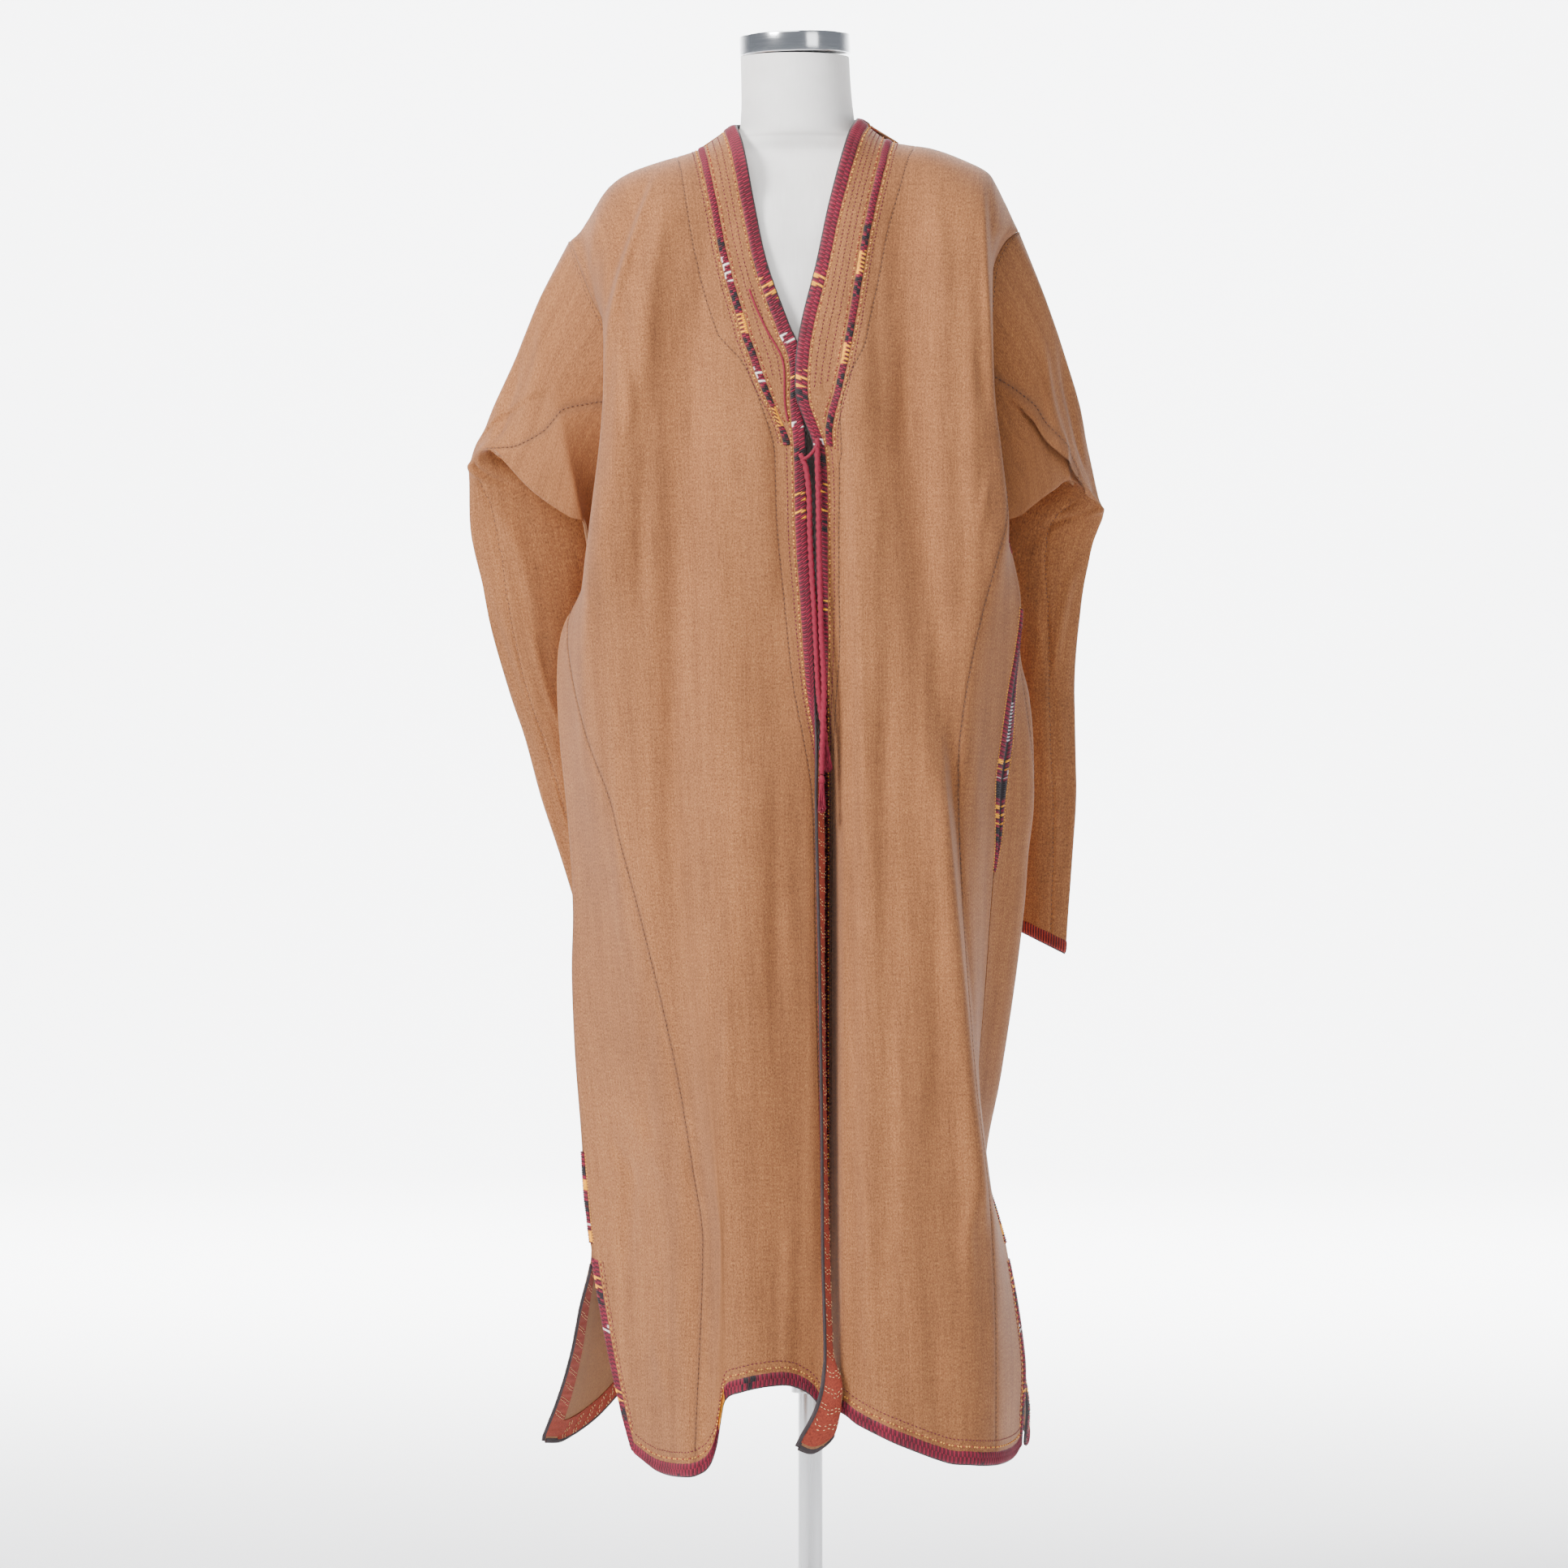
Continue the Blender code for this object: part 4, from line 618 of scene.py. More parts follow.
def camel_wool(name):
    """Plain woven camel wool: a close speckle, soft bands down the warp, faint weft bars, blotches, a nap and painted
    shade in its seams.
    """
    made, add = new_material(name, 0.92, 0, 0.06)
    uv = add("UVMap", {"uv_map": "cloth"}).outputs["UV"]

    def woven(across_scale, down_scale, detail, low, high, dark, light):
        noise = grained(add, uv, (across_scale, down_scale, 1.0), detail, 0.6)
        return noise, ramp(add, noise.outputs["Fac"], low, dark, high, light)

    speckle, mixed = woven(900.0, 520.0, 3.0, 0.28, 0.70, (0.150, 0.052, 0.0165), (0.440, 0.180, 0.062))
    layers = (  # lengthwise streaks, broad bands down the warp, faint weft bars, nap, short dark slubs
        woven(560.0, 26.0, 3.0, 0.30, 0.60, (0.80, 0.77, 0.74), (1.05, 1.05, 1.05)),
        woven(62.0, 3.2, 1.0, 0.32, 0.68, (0.86, 0.84, 0.82), (1.06, 1.06, 1.05)),
        woven(42.0, 270.0, 2.0, 0.34, 0.66, (0.92, 0.91, 0.90), (1.05, 1.05, 1.05)),
        woven(430.0, 330.0, 2.0, 0.36, 0.64, (0.84, 0.82, 0.80), (1.10, 1.10, 1.10)),
        woven(700.0, 45.0, 2.0, 0.24, 0.36, (0.62, 0.55, 0.50), (1.0, 1.0, 1.0)),
    )
    for _, layer in layers:
        mixed = add("MixRGB", {"blend_type": "MULTIPLY", "Fac": 0.9}, Color1=mixed, Color2=layer).outputs[0]
    blotch = add("TexNoise", {"Scale": 8.0, "Detail": 3.0, "Roughness": 0.5},
                 Vector=add("TexCoord").outputs["Object"])
    tone = ramp(add, blotch.outputs["Fac"], 0.3, (0.88, 0.86, 0.84), 0.72, (1.07, 1.06, 1.05))
    mixed = add("MixRGB", {"blend_type": "MULTIPLY", "Fac": 1.0}, Color1=mixed, Color2=tone).outputs[0]
    # The layer's red paints shade into the seam grooves, and its green gives the cloth's back a tone of its own.
    seam_shade_and_back = add("VertexColor", {"layer_name": "thread"})
    parts = add("SeparateColor", Color=seam_shade_and_back.outputs["Color"])
    shaded = add("MixRGB", {"Color2": (0.16, 0.070, 0.034, 1)}, Color1=mixed,
                 Fac=add("Math", {"operation": "MULTIPLY", 1: 0.5}, _0=parts.outputs[0]).outputs[0])
    inside = add("MixRGB", {"Color2": (0.30, 0.155, 0.080, 1)}, Color1=shaded.outputs[0],
                 Fac=add("Math", {"operation": "MULTIPLY", 1: 0.5}, _0=parts.outputs[1]).outputs[0])
    thread = add("Mapping", {"Scale": (1100.0, 1100.0, 1.0)}, Vector=uv)
    knots = add("TexVoronoi", {"Scale": 1.0, "Randomness": 0.45}, Vector=thread.outputs[0])
    relief = add("Math", {"operation": "MULTIPLY_ADD", 1: 0.8}, _0=speckle.outputs["Fac"],
                 _2=knots.outputs["Distance"])
    return surfaced(made, add, inside.outputs[0], relief.outputs[0], 0.3)


wool = camel_wool("camel_wool")
# The placket's stitched-down inner edge, as rows of height and distance from the front edge.
PLACKET = {"right": ((1455, 62), (1270, 66), (1204, 42), (1166, 33), (1150, 30), (1088, 31), (920, 29), (700, 28),
                     (240, 27)),
           "left": ((1455, 60), (1270, 62), (1238, 52), (1197, 42), (1146, 24), (1100, 22), (1023, 22), (969, 24),
                    (240, 24))}
fronts, front_seam, placket = {}, {}, {}
for side in ("right", "left"):
    guides = tuple(FRONT[side].values())
    line = shoulder_line(guides, lambda share, x, side=side: track(SHOULDER[side], x, 1))

    def place(u, z, side=side, guides=guides, line=line):
        x, y = across(guides, u, z)
        calm = (1 - ease((u - 0.75) / 0.15)) * ease((u - 0.1) / 0.08)
        soft = ease((u - 0.06) / 0.1) * (1 - ease((u - 0.93) / 0.06))
        y = y + fold_push(FOLDS[side], (), x, z, side == "right") * calm
        y = y + fold_push((), CREASES[side], x, z, side == "right") * soft
        r = np.clip((track(line, u, 1) - z) / ROLL, 0, 1)
        return np.stack([x, y * np.sqrt(1 - (1 - r) ** 2), z], axis=1)

    cloth = surface(place, line, HEM[side], -1, 0.45)
    cloth["place"] = place
    fronts[side] = cloth
    share = seam_shares(cloth, GORE[side], 1.0)
    front_seam[side] = distance_of(cloth, np.minimum(share, 1.0))
    placket[side] = np.interp(-cloth["points"][:, 0, 2], [-row[0] for row in PLACKET[side]],
                              [row[1] for row in PLACKET[side]])
    edge = np.zeros(ROWS + 1)
    rows = np.concatenate([np.linspace(0, 0.02, 6)[:-1], np.linspace(0.02, 1, 210)])
    grooves = [(placket[side], 0.45, 0.9), (front_seam[side], 0.7, 1.3)]
    piece, area, wide, tall = panel(f"{side}_front_cloth", cloth, edge, front_seam[side] - 0.1, rows, 78, wool,
                                    fine=[placket[side]], grooves=grooves)
    dress(piece, f"{side}_front")


# Front gores. A long triangle of the same wool is let in at each side to widen the skirt, point uppermost, and its
# seam lies in a shallow groove with the cloth a little drawn in along it.
for side in ("right", "left"):
    cloth = fronts[side]
    whole = cloth["along"][:, -1]
    start = int(np.argmax(whole - front_seam[side] > 1.5))
    rows = np.linspace(start / ROWS, 1, 160)
    piece, area, wide, tall = panel(f"{side}_front_gore_cloth", cloth, front_seam[side] + 0.1, whole - 0.2, rows, 30,
                                    wool, grooves=[(front_seam[side], 0.7, 1.3), (whole, 0.6, 1.2)])
    dress(piece, f"{side}_front_gore")


# Back. One wide length of the same wool from shoulder to hem, hung over the form's back, with a gore at each side.
# Guide lines of the back, from the right side seam round to the left one, as a share and rows of z, x and y.
BACK = (
    (0.0, ((1354, -229, 34), (1299, -216, 38), (1265, -206, 46), (1231, -200, 50), (1193, -197, 48), (1150, -198, 38),
           (1079, -206, 4), *SIDE_SEAM["right"], (342, -219, -14), (301, -227, 0), (259, -239, 14),
           (217, -255, 26))),
    (0.1, ((1400, -200, 60), (1354, -214, 64), (1265, -196, 74), (1193, -189, 78), (1079, -192, 62),
           (1018, -199, 36), (947, -214, 22), (884, -216, 22), (813, -212, 22), (661, -207, 22), (509, -200, 24),
           (388, -196, 26), (301, -206, 44), (217, -222, 64))),
    (0.2, ((1417, -168, 66), (1354, -186, 78), (1265, -178, 90), (1193, -172, 94), (1079, -168, 84),
           (1018, -172, 66), (947, -180, 56), (813, -176, 54), (661, -170, 56), (509, -166, 60), (388, -166, 68),
           (217, -178, 92))),
    (0.36, ((1434, -106, 74), (1354, -112, 92), (1265, -108, 108), (1193, -106, 112), (1079, -104, 110),
            (947, -104, 108), (813, -102, 110), (661, -102, 116), (509, -104, 122), (388, -106, 128),
            (217, -112, 136))),
    (0.5, ((1436, -13, 80), (1354, -14, 98), (1265, -14, 112), (1193, -14, 118), (1079, -14, 120), (813, -16, 126),
           (661, -17, 132), (509, -18, 138), (388, -18, 142), (217, -18, 148))),
    (0.64, ((1436, 84, 74), (1354, 84, 92), (1265, 80, 108), (1193, 78, 112), (1079, 78, 110), (947, 78, 108),
            (813, 76, 110), (661, 74, 116), (509, 74, 122), (388, 76, 128), (217, 80, 136))),
    (0.8, ((1420, 142, 66), (1354, 156, 78), (1265, 150, 90), (1193, 146, 94), (1079, 144, 84), (1018, 148, 68),
           (947, 150, 58), (813, 152, 56), (661, 150, 58), (509, 144, 64), (388, 146, 72), (217, 162, 88))),
    (0.9, ((1400, 170, 58), (1363, 181, 60), (1265, 174, 70), (1193, 170, 72), (1147, 172, 64), (1084, 178, 40),
           (1018, 187, 12), (956, 196, -4), (925, 205, -8), (880, 210, -8), (818, 211, -8), (773, 206, -8),
           (729, 203, -8), (653, 194, -10), (562, 180, -14), (471, 164, -14), (400, 176, 4), (320, 190, 14),
           (251, 204, 20), (214, 204, 24))),
    (1.0, ((1363, 198, 30), (1350, 192, 34), (1322, 186, 42), (1265, 181, 48), (1208, 178, 44), (1147, 180, 18),
           (1100, 182, -40), *SIDE_SEAM["left"], (357, 190, -30), (310, 198, -20), (251, 206, -12),
           (214, 204, -10))),
)
BACK_NECK = ((0.36, 1440), (0.42, 1436), (0.5, 1434), (0.58, 1439), (0.64, 1446))
BACK_HEM = ((0.0, 214), (0.06, 214), (0.13, 232), (0.22, 276), (0.32, 298), (0.5, 304), (0.68, 298), (0.8, 270),
            (0.9, 226), (0.95, 214), (1.0, 215))
BACK_GORE = {"right": ((1004, 0.0), (900, 0.06), (813, 0.1), (509, 0.15), (190, 0.2)),
             "left": ((1060, 1.0), (900, 0.94), (813, 0.9), (509, 0.85), (190, 0.8))}
BACK_FOLDS = (
    ("right back ridge", 1230, 215, -110, -118, -135, 26, 10, 0),
    ("spine trough", 1120, 215, -12, -20, -30, 30, -10, 0),
    ("left back ridge", 1280, 215, 80, 88, 104, 28, 10, 0),
    ("right back trough", 1100, 215, -66, -72, -84, 22, -8, 0),
    ("left back trough", 1000, 215, 38, 44, 50, 22, -7, 0),
)
BACK_CREASES = (
    (1410, 1230, -120, -132, -140, 8, 1.4), (1400, 1180, 96, 104, 112, 8, 1.5), (1380, 1120, -40, -46, -50, 9, -1.3),
    (1350, 1060, 40, 46, 44, 9, 1.3), (1290, 1120, -170, -164, -168, 6, -1.6), (1290, 1130, 150, 146, 150, 6, -1.5),
    (1160, 880, -140, -150, -156, 9, 1.5), (1120, 840, 0, 6, 4, 10, 1.3), (1060, 700, -88, -92, -98, 9, -1.4),
    (1040, 660, 110, 118, 126, 9, -1.6), (940, 520, 30, 26, 30, 10, 1.2), (900, 430, -52, -48, -52, 9, 1.4),
    (820, 400, 160, 166, 160, 8, 1.5), (780, 330, -166, -172, -180, 8, -1.4), (700, 250, 66, 72, 78, 9, -1.3),
    (620, 240, -120, -126, -130, 9, 1.4), (560, 240, -8, -12, -14, 8, 1.3), (480, 235, 128, 136, 142, 7, 1.2),
    (1200, 1150, -120, -60, -20, 8, -1.0), (1150, 1100, 20, 70, 120, 8, -1.0),
)
back_line = shoulder_line(BACK, lambda share, x: np.where(share < 0.5, track(SHOULDER["right"], x, 1),
                                                          track(SHOULDER["left"], x, 1)))
neck = [(share, high) for share, high in back_line if not 0.36 < share < 0.64]
turned_over = sorted(neck + [(0.36 + 0.028 * k, 1440 + 22 * math.sin(math.pi * k / 10) + 0.6 * k)
                             for k in range(1, 10)])
back_top = sorted(neck + [row for row in BACK_NECK if 0.36 < row[0] < 0.64])


def back_place(u, z):
    x, y = across(BACK, u, z)
    calm = ease((u - 0.1) / 0.1) * ease((0.9 - u) / 0.1)
    y = y - fold_push(BACK_FOLDS, (), x, z, False) * calm
    y = y - fold_push((), BACK_CREASES, x, z, False) * ease((u - 0.02) / 0.06) * ease((0.98 - u) / 0.06)
    r = np.clip((track(turned_over, u, 1) - z) / ROLL, 0, 1)
    return np.stack([x, y * np.sqrt(1 - (1 - r) ** 2), z], axis=1)


back = surface(back_place, back_top, BACK_HEM, 1, 0.5)
right_gore = distance_of(back, np.maximum(seam_shares(back, BACK_GORE["right"], 0.0), 0))
left_gore = distance_of(back, np.minimum(seam_shares(back, BACK_GORE["left"], 1.0), 1))
back_width = back["along"][:, -1]
BACK_PIECES = {
    "back": (right_gore + 0.1, left_gore - 0.1, 116, [(right_gore, 0.7, 1.3), (left_gore, 0.7, 1.3)]),
    "right_back_gore": (np.full(ROWS + 1, 0.2), right_gore - 0.1, 26, [(right_gore, 0.7, 1.3)]),
    "left_back_gore": (left_gore + 0.1, back_width - 0.2, 26, [(left_gore, 0.7, 1.3)]),
}
for name, (first, last, columns, grooves) in BACK_PIECES.items():
    start = int(np.argmax(last - first > 1.5))
    rows = np.linspace(start / ROWS, 1, 205 if name == "back" else 140)
    piece, area, wide, tall = panel(f"{name}_cloth", back, first, last, rows, columns, wool, grooves=grooves)
    dress(piece, name)


# Sleeves. Each is a straight tube cut long and wide at the top and narrow at the cuff, set square into the body.
# Empty, it drops back from the shoulder and tucks under itself at the elbow, over a gusset that is let in below.
SLEEVE = {
    "right": (
        (-229, 0, 1354, -212, -22, 1046, 24, 24),
        (-257, -4, 1298, -213, -52, 1083, 22, 44),
        (-276, -4, 1252, -228, -56, 1091, 18, 48),
        (-295, -2, 1206, -258, -50, 1111, 14, 36),
        (-307, 2, 1179, -281, -42, 1134, 10, 28),
        (-318, 8, 1160, -297, -30, 1152, 8, 27),
        (-324, 17, 1142, -300, 2, 1158, 10, 24),
        (-325, 26, 1124, -279, 17, 1151, 12, 22),
        (-325, 31, 1102, -236, 26, 1134, 14, 20),
        (-323, 37, 1075, -212, 32, 1105, 15, 20),
        (-316, 42, 1035, -212, 38, 1042, 16, 22),
        (-306, 48, 988, -220, 46, 988, 16, 22),
        (-288, 56, 927, -225, 58, 927, 16, 20),
        (-272, 62, 881, -214, 68, 881, 16, 18),
        (-252, 70, 813, -198, 80, 813, 15, 17),
        (-232, 80, 745, -182, 92, 745, 14, 16),
        (-212, 90, 676, -166, 104, 684, 13, 14),
    ),
    "left": (
        (198, 0, 1363, 182, -62, 1086, 20, 30),
        (223, -4, 1298, 198, -60, 1091, 18, 44),
        (239, -4, 1252, 206, -58, 1098, 18, 46),
        (253, -2, 1201, 223, -52, 1111, 14, 34),
        (264, 4, 1154, 235, -42, 1120, 10, 25),
        (273, 10, 1112, 241, -28, 1128, 8, 24),
        (279, 18, 1098, 243, -2, 1132, 10, 25),
        (275, 28, 1083, 227, 20, 1124, 12, 22),
        (269, 35, 1066, 193, 31, 1108, 14, 20),
        (264, 43, 1043, 183, 43, 1068, 15, 20),
        (259, 50, 1012, 189, 52, 1018, 16, 22),
        (255, 58, 970, 195, 62, 970, 16, 20),
        (253, 64, 925, 194, 70, 925, 16, 20),
        (253, 68, 870, 191, 76, 870, 16, 18),
        (253, 72, 813, 190, 80, 813, 15, 18),
        (250, 76, 748, 190, 84, 748, 14, 16),
        (245, 80, 678, 192, 88, 704, 13, 14),
    ),
}
GUSSET_ROW = 5.0  # the section where the gusset ends
ROUND = 120
QUARTER = ROUND // 4
CREASE_GAIN = 1.6  # how much deeper the creases are than their table says
# Creases of the sleeves: section and turn of the two ends, half width in sections, and height.
SLEEVE_CREASES = {
    "right": ((0.6, 0.05, 3.2, 0.22, 0.5, 2.2), (0.9, 0.85, 3.8, 0.72, 0.45, 2.6), (1.8, 0.02, 4.4, 0.16, 0.4, -1.8),
              (1.2, 0.9, 4.2, 0.98, 0.45, 2.0), (5.6, 0.95, 7.6, 0.2, 0.35, 1.8), (5.8, 0.05, 8.4, 0.3, 0.3, -1.6),
              (6.6, 0.6, 9.5, 0.85, 0.4, 1.6), (8.0, 0.1, 11.5, 0.3, 0.4, 1.5), (9.0, 0.95, 13.0, 0.12, 0.4, -1.4),
              (10.5, 0.2, 14.0, 0.4, 0.4, 1.5), (11.5, 0.9, 15.0, 0.05, 0.4, 1.3), (9.5, 0.7, 14.5, 0.6, 0.5, 1.5)),
    "left": ((0.7, 0.1, 3.4, 0.3, 0.5, 2.4), (1.0, 0.88, 4.0, 0.7, 0.45, 2.6), (1.6, 0.03, 4.6, 0.14, 0.4, -2.0),
             (2.4, 0.2, 4.8, 0.42, 0.35, 2.0), (1.2, 0.93, 4.0, 0.99, 0.45, 1.8), (5.5, 0.98, 7.8, 0.24, 0.35, 1.8),
             (6.0, 0.06, 9.0, 0.34, 0.3, -1.6), (6.8, 0.62, 9.8, 0.88, 0.4, 1.6), (8.5, 0.05, 12.0, 0.2, 0.4, 1.4),
             (9.5, 0.3, 13.5, 0.12, 0.4, -1.3), (11.0, 0.92, 15.0, 0.04, 0.4, 1.3), (9.0, 0.7, 14.0, 0.58, 0.5, 1.5)),
}
# Lipped folds of the sleeves: rows of section and turn along the lip, then its height. The cloth drops below it.
SLEEVE_LIPS = {"right": (((1.2, 0.18), (2.4, 0.12), (3.2, 0.06), (4.6, 0.0)), 3.2),
               "left": (((0.3, 0.268), (1.5, 0.272), (3.0, 0.275), (4.2, 0.265), (5.2, 0.20), (6.2, 0.08)), 9.0)}
# The lengthwise seam of each forearm, as rows of section and turn.
FOREARM_SEAM = {"right": ((7.0, 0.10), (10.0, 0.115), (13.0, 0.15), (16.0, 0.18)),
                "left": ((7.0, 0.27), (9.0, 0.25), (12.0, 0.21), (14.0, 0.16), (16.0, 0.14))}


def sleeve_net(side, t, turn):
    """Points at sections t and turns 0 to 1, front from outer to inner edge, then the back."""
    sign = -1 if side == "right" else 1
    t, turn = np.broadcast_arrays(t[:, None], turn[None, :])
    shape = t.shape
    t, turn = t.ravel(), turn.ravel() % 1.0
    ahead = turn <= 0.5
    s = np.where(ahead, 2 * turn, 2 * (1 - turn))
    places = list(range(len(SLEEVE[side])))
    row = [smooth(places, [r[k] for r in SLEEVE[side]], t) for k in range(8)]
    outer, inner = np.stack(row[:3], 1), np.stack(row[3:6], 1)
    full = np.where(ahead, row[6], -row[7])
    bow = np.sin(math.pi * np.clip(s, 0, 1)) ** 0.75
    point = outer + (inner - outer) * s[:, None]
    point[:, 1] -= full * bow
    high = SLEEVE[side][0][2]
    z = high + (UNDERARM[side] - high) * s
    edge_front = fronts[side]["place"](np.ones_like(z), z)
    edge_back = back_place(np.full_like(z, 0.0 if side == "right" else 1.0), z)
    edge = np.where(ahead[:, None], edge_front, edge_back)
    edge[:, 0] -= sign * 0.25
    share = np.where(t < 1, 1 - ease(t), 0)[:, None]
    return (point * (1 - share) + edge * share).reshape(*shape, 3)


def rows_at(rows, x):
    """The value at x, straight between rows of place and value."""
    return np.interp(x, *zip(*rows))


def turns_past(turn, line):
    """How far each turn lies past a line that runs down the sleeve, at most half a turn either way."""
    return (turn[None, :] - line[:, None] + 0.5) % 1.0 - 0.5


sleeves = {}
for side in ("right", "left"):
    end = len(SLEEVE[side]) - 1.0
    t = np.concatenate([np.linspace(0.01, GUSSET_ROW, 76), np.linspace(GUSSET_ROW, end, 106)[1:]])
    turn = np.arange(ROUND + 1) / ROUND
    net = sleeve_net(side, t, turn)
    down = np.gradient(net, axis=0)
    round_way = (np.roll(net[:, :-1], -1, axis=1) - np.roll(net[:, :-1], 1, axis=1))
    round_way = np.concatenate([round_way, round_way[:, :1]], axis=1)
    out = unit(np.cross(round_way, down)) * (-1 if side == "right" else 1)
    lift = np.zeros(net.shape[:2])
    for t0, turn0, t1, turn1, wide, high in SLEEVE_CREASES[side]:
        if abs(turn1 - turn0) > 0.5:
            turn1 += 1 if turn0 > turn1 else -1
        line = turn0 + (turn1 - turn0) * np.clip((t - t0) / (t1 - t0), 0, 1)
        gap = turns_past(turn, line)
        strength = ease((t - t0) / (0.3 * (t1 - t0))) * ease((t1 - t) / (0.4 * (t1 - t0)))
        lift += strength[:, None] * CREASE_GAIN * high * np.exp(-(gap / (wide * 0.09)) ** 2)
    rows, high = SLEEVE_LIPS[side]
    strength = ease((t - rows[0][0]) / 0.7) * ease((rows[-1][0] - t) / 1.2)
    below = turns_past(turn, rows_at(rows, t))
    lift += strength[:, None] * high * np.where(below < 0, 0.55 * np.exp(below / 0.08),
                                                0.55 - ease(below / 0.022) * (0.55 + 0.45 * np.exp(-below / 0.09)))
    slide = strength[:, None] * max(0, high - 2.5) * 1.2 * (np.exp(-((below + 0.002) / 0.012) ** 2)
                                               - np.exp(-((below - 0.026) / 0.014) ** 2))
    slide *= ease((t - 0.35) / 0.5)[:, None]
    slide[:, -1] = slide[:, 0]
    gap = turns_past(turn, rows_at(FOREARM_SEAM[side], t))
    lift -= 0.9 * ease((t - 6.6) / 0.6)[:, None] * np.exp(-(gap / 0.012) ** 2)
    lift *= ease((t - 0.35) / 0.5)[:, None]
    lift += 0.3 * np.sin(turn[None, :] * 44 + 2 * np.sin(t[:, None])) * np.sin(t[:, None] * 2.3) * ease(t)[:, None]
    lift[:, -1] = lift[:, 0]
    net = net + out * lift[:, :, None] + unit(round_way) * slide[:, :, None]
    across_mm = np.concatenate([np.zeros((len(t), 1)),
                                np.cumsum(np.linalg.norm(np.diff(net, axis=1), axis=2), axis=1)], axis=1)
    down_mm = np.concatenate([[0], np.cumsum(np.linalg.norm(np.diff(net[:, 10], axis=0), axis=1))])
    uv = np.stack([across_mm, np.broadcast_to(-down_mm[:, None], across_mm.shape)], axis=2)
    sleeves[side] = {"t": t, "net": net, "out": out, "uv": uv}
    upper = t <= GUSSET_ROW + 1e-9
    count = int(upper.sum())
    # The seams and the armhole's edge are sunk, and their grooves are painted with shade in the colour.
    groove = np.zeros(net.shape[:2])
    groove[:count, [QUARTER, 3 * QUARTER]] = 1
    groove[:count, [QUARTER - 1, QUARTER + 1, 3 * QUARTER - 1, 3 * QUARTER + 1]] = 0.45
    groove[0] = 1
    groove[1] = 0.5
    sunk = net - out * (0.6 * groove)[:, :, None]
    # The sleeve is a half tube as far as the gusset's end and a whole one below it.
    used = np.zeros(net.shape[:2], bool)
    used[:, :ROUND] = True
    used[:count - 1, QUARTER + 1:3 * QUARTER] = False
    index = -np.ones(net.shape[:2], int)
    index[used] = np.arange(int(used.sum()))
    index[:, ROUND] = index[:, 0]
    cell = (index[:-1, :-1] >= 0) & (index[:-1, 1:] >= 0) & (index[1:, :-1] >= 0) & (index[1:, 1:] >= 0)
    cell[:count - 1, QUARTER:3 * QUARTER] = False
    i, j = np.nonzero(cell)
    quad = np.stack([index[i, j], index[i, j + 1], index[i + 1, j + 1], index[i + 1, j]], 1)
    if side == "right":
        quad = quad[:, ::-1]
    n = int(used.sum())
    both = np.concatenate([sunk[used], (sunk - out * WALL)[used]])
    edges = {}
    for face in quad.tolist():
        for a, b in zip(face, face[1:] + face[:1]):
            if (b, a) in edges:
                del edges[(b, a)]
            else:
                edges[(a, b)] = 1
    rim = [(b, a, n + a, n + b) for a, b in edges]
    quads = quad.tolist() + (quad[:, ::-1] + n).tolist() + rim
    piece = mesh_piece(f"{side}_sleeve_cloth", both, quads, wool, np.concatenate([uv[used]] * 2),
                       both_faces(groove[used]), sharp=60)
    area = float(sum(np.linalg.norm(np.cross(net[a + 1, b + 1] - net[a, b], net[a + 1, b] - net[a, b + 1])) / 2
                     for a, b in zip(i, j))) * MM * MM
    dress(piece, f"{side}_sleeve")
    window = slice(QUARTER, 3 * QUARTER + 1)
    gusset = net[:count, window] - out[:count, window] * (0.6 * groove[:count, window])[:, :, None]
    made = shell(f"{side}_gusset_cloth", gusset, out[:count, window], uv[:count, window],
                 groove[:count, window], wool)
    dress(made, f"{side}_gusset")


# The form. A limbless padded torso of an adult's size under stretched off-white linen, which is seamed round the
# base of its neck.
# The form's sections: height, half width, half depth, the middle's x and y.
FORM = (
    (1528, 51.5, 51.5, -14.8, 2), (1500, 52, 52, -13.6, 2), (1474, 53.5, 53.5, -12.4, 2), (1456, 57, 55, -12, 1),
    (1446, 70, 51, -12, 0), (1436, 89, 48, -12, 0), (1424, 121.5, 52.5, -12, 0), (1412, 156, 62, -12, 0),
    (1400, 170, 70, -12, 0), (1384, 172, 80, -12, 0), (1350, 164, 92, -12, 0), (1300, 156, 100, -12, 0),
    (1240, 152, 104, -12, 0), (1150, 138, 92, -11, 0), (1050, 124, 82, -9, 0), (950, 142, 94, -6, 0),
    (860, 150, 98, -3, 0), (800, 146, 94, -1, 0), (780, 128, 82, 0, 0),
)
FORM_SIDES = 96


def linen_cover(name):
    """Off-white linen jersey pulled tight: a very fine vertical rib, a faint mottle and painted shade at the neck seam.
    """
    made, add = new_material(name, 0.8, 0, 0.1)
    uv = add("UVMap", {"uv_map": "cloth"}).outputs["UV"]
    rib = grained(add, uv, (900.0, 40.0, 1.0))
    mottle = add("TexNoise", {"Scale": 22.0, "Detail": 4.0}, Vector=add("TexCoord").outputs["Object"])
    both = add("Math", {"operation": "MULTIPLY_ADD", 1: 0.5}, _0=rib.outputs["Fac"], _2=mottle.outputs["Fac"])
    shade = ramp(add, both.outputs[0], 0.45, (0.82, 0.79, 0.76), 0.95, (0.96, 0.94, 0.91))
    seam_shade_and_back = add("VertexColor", {"layer_name": "thread"})
    parts = add("SeparateColor", Color=seam_shade_and_back.outputs["Color"])
    shaded = add("MixRGB", {"Color2": (0.50, 0.47, 0.45, 1)}, Color1=shade,
                 Fac=add("Math", {"operation": "MULTIPLY", 1: 0.55}, _0=parts.outputs[0]).outputs[0])
    return surfaced(made, add, shaded.outputs[0], rib.outputs["Fac"], 0.25, 0.0003)


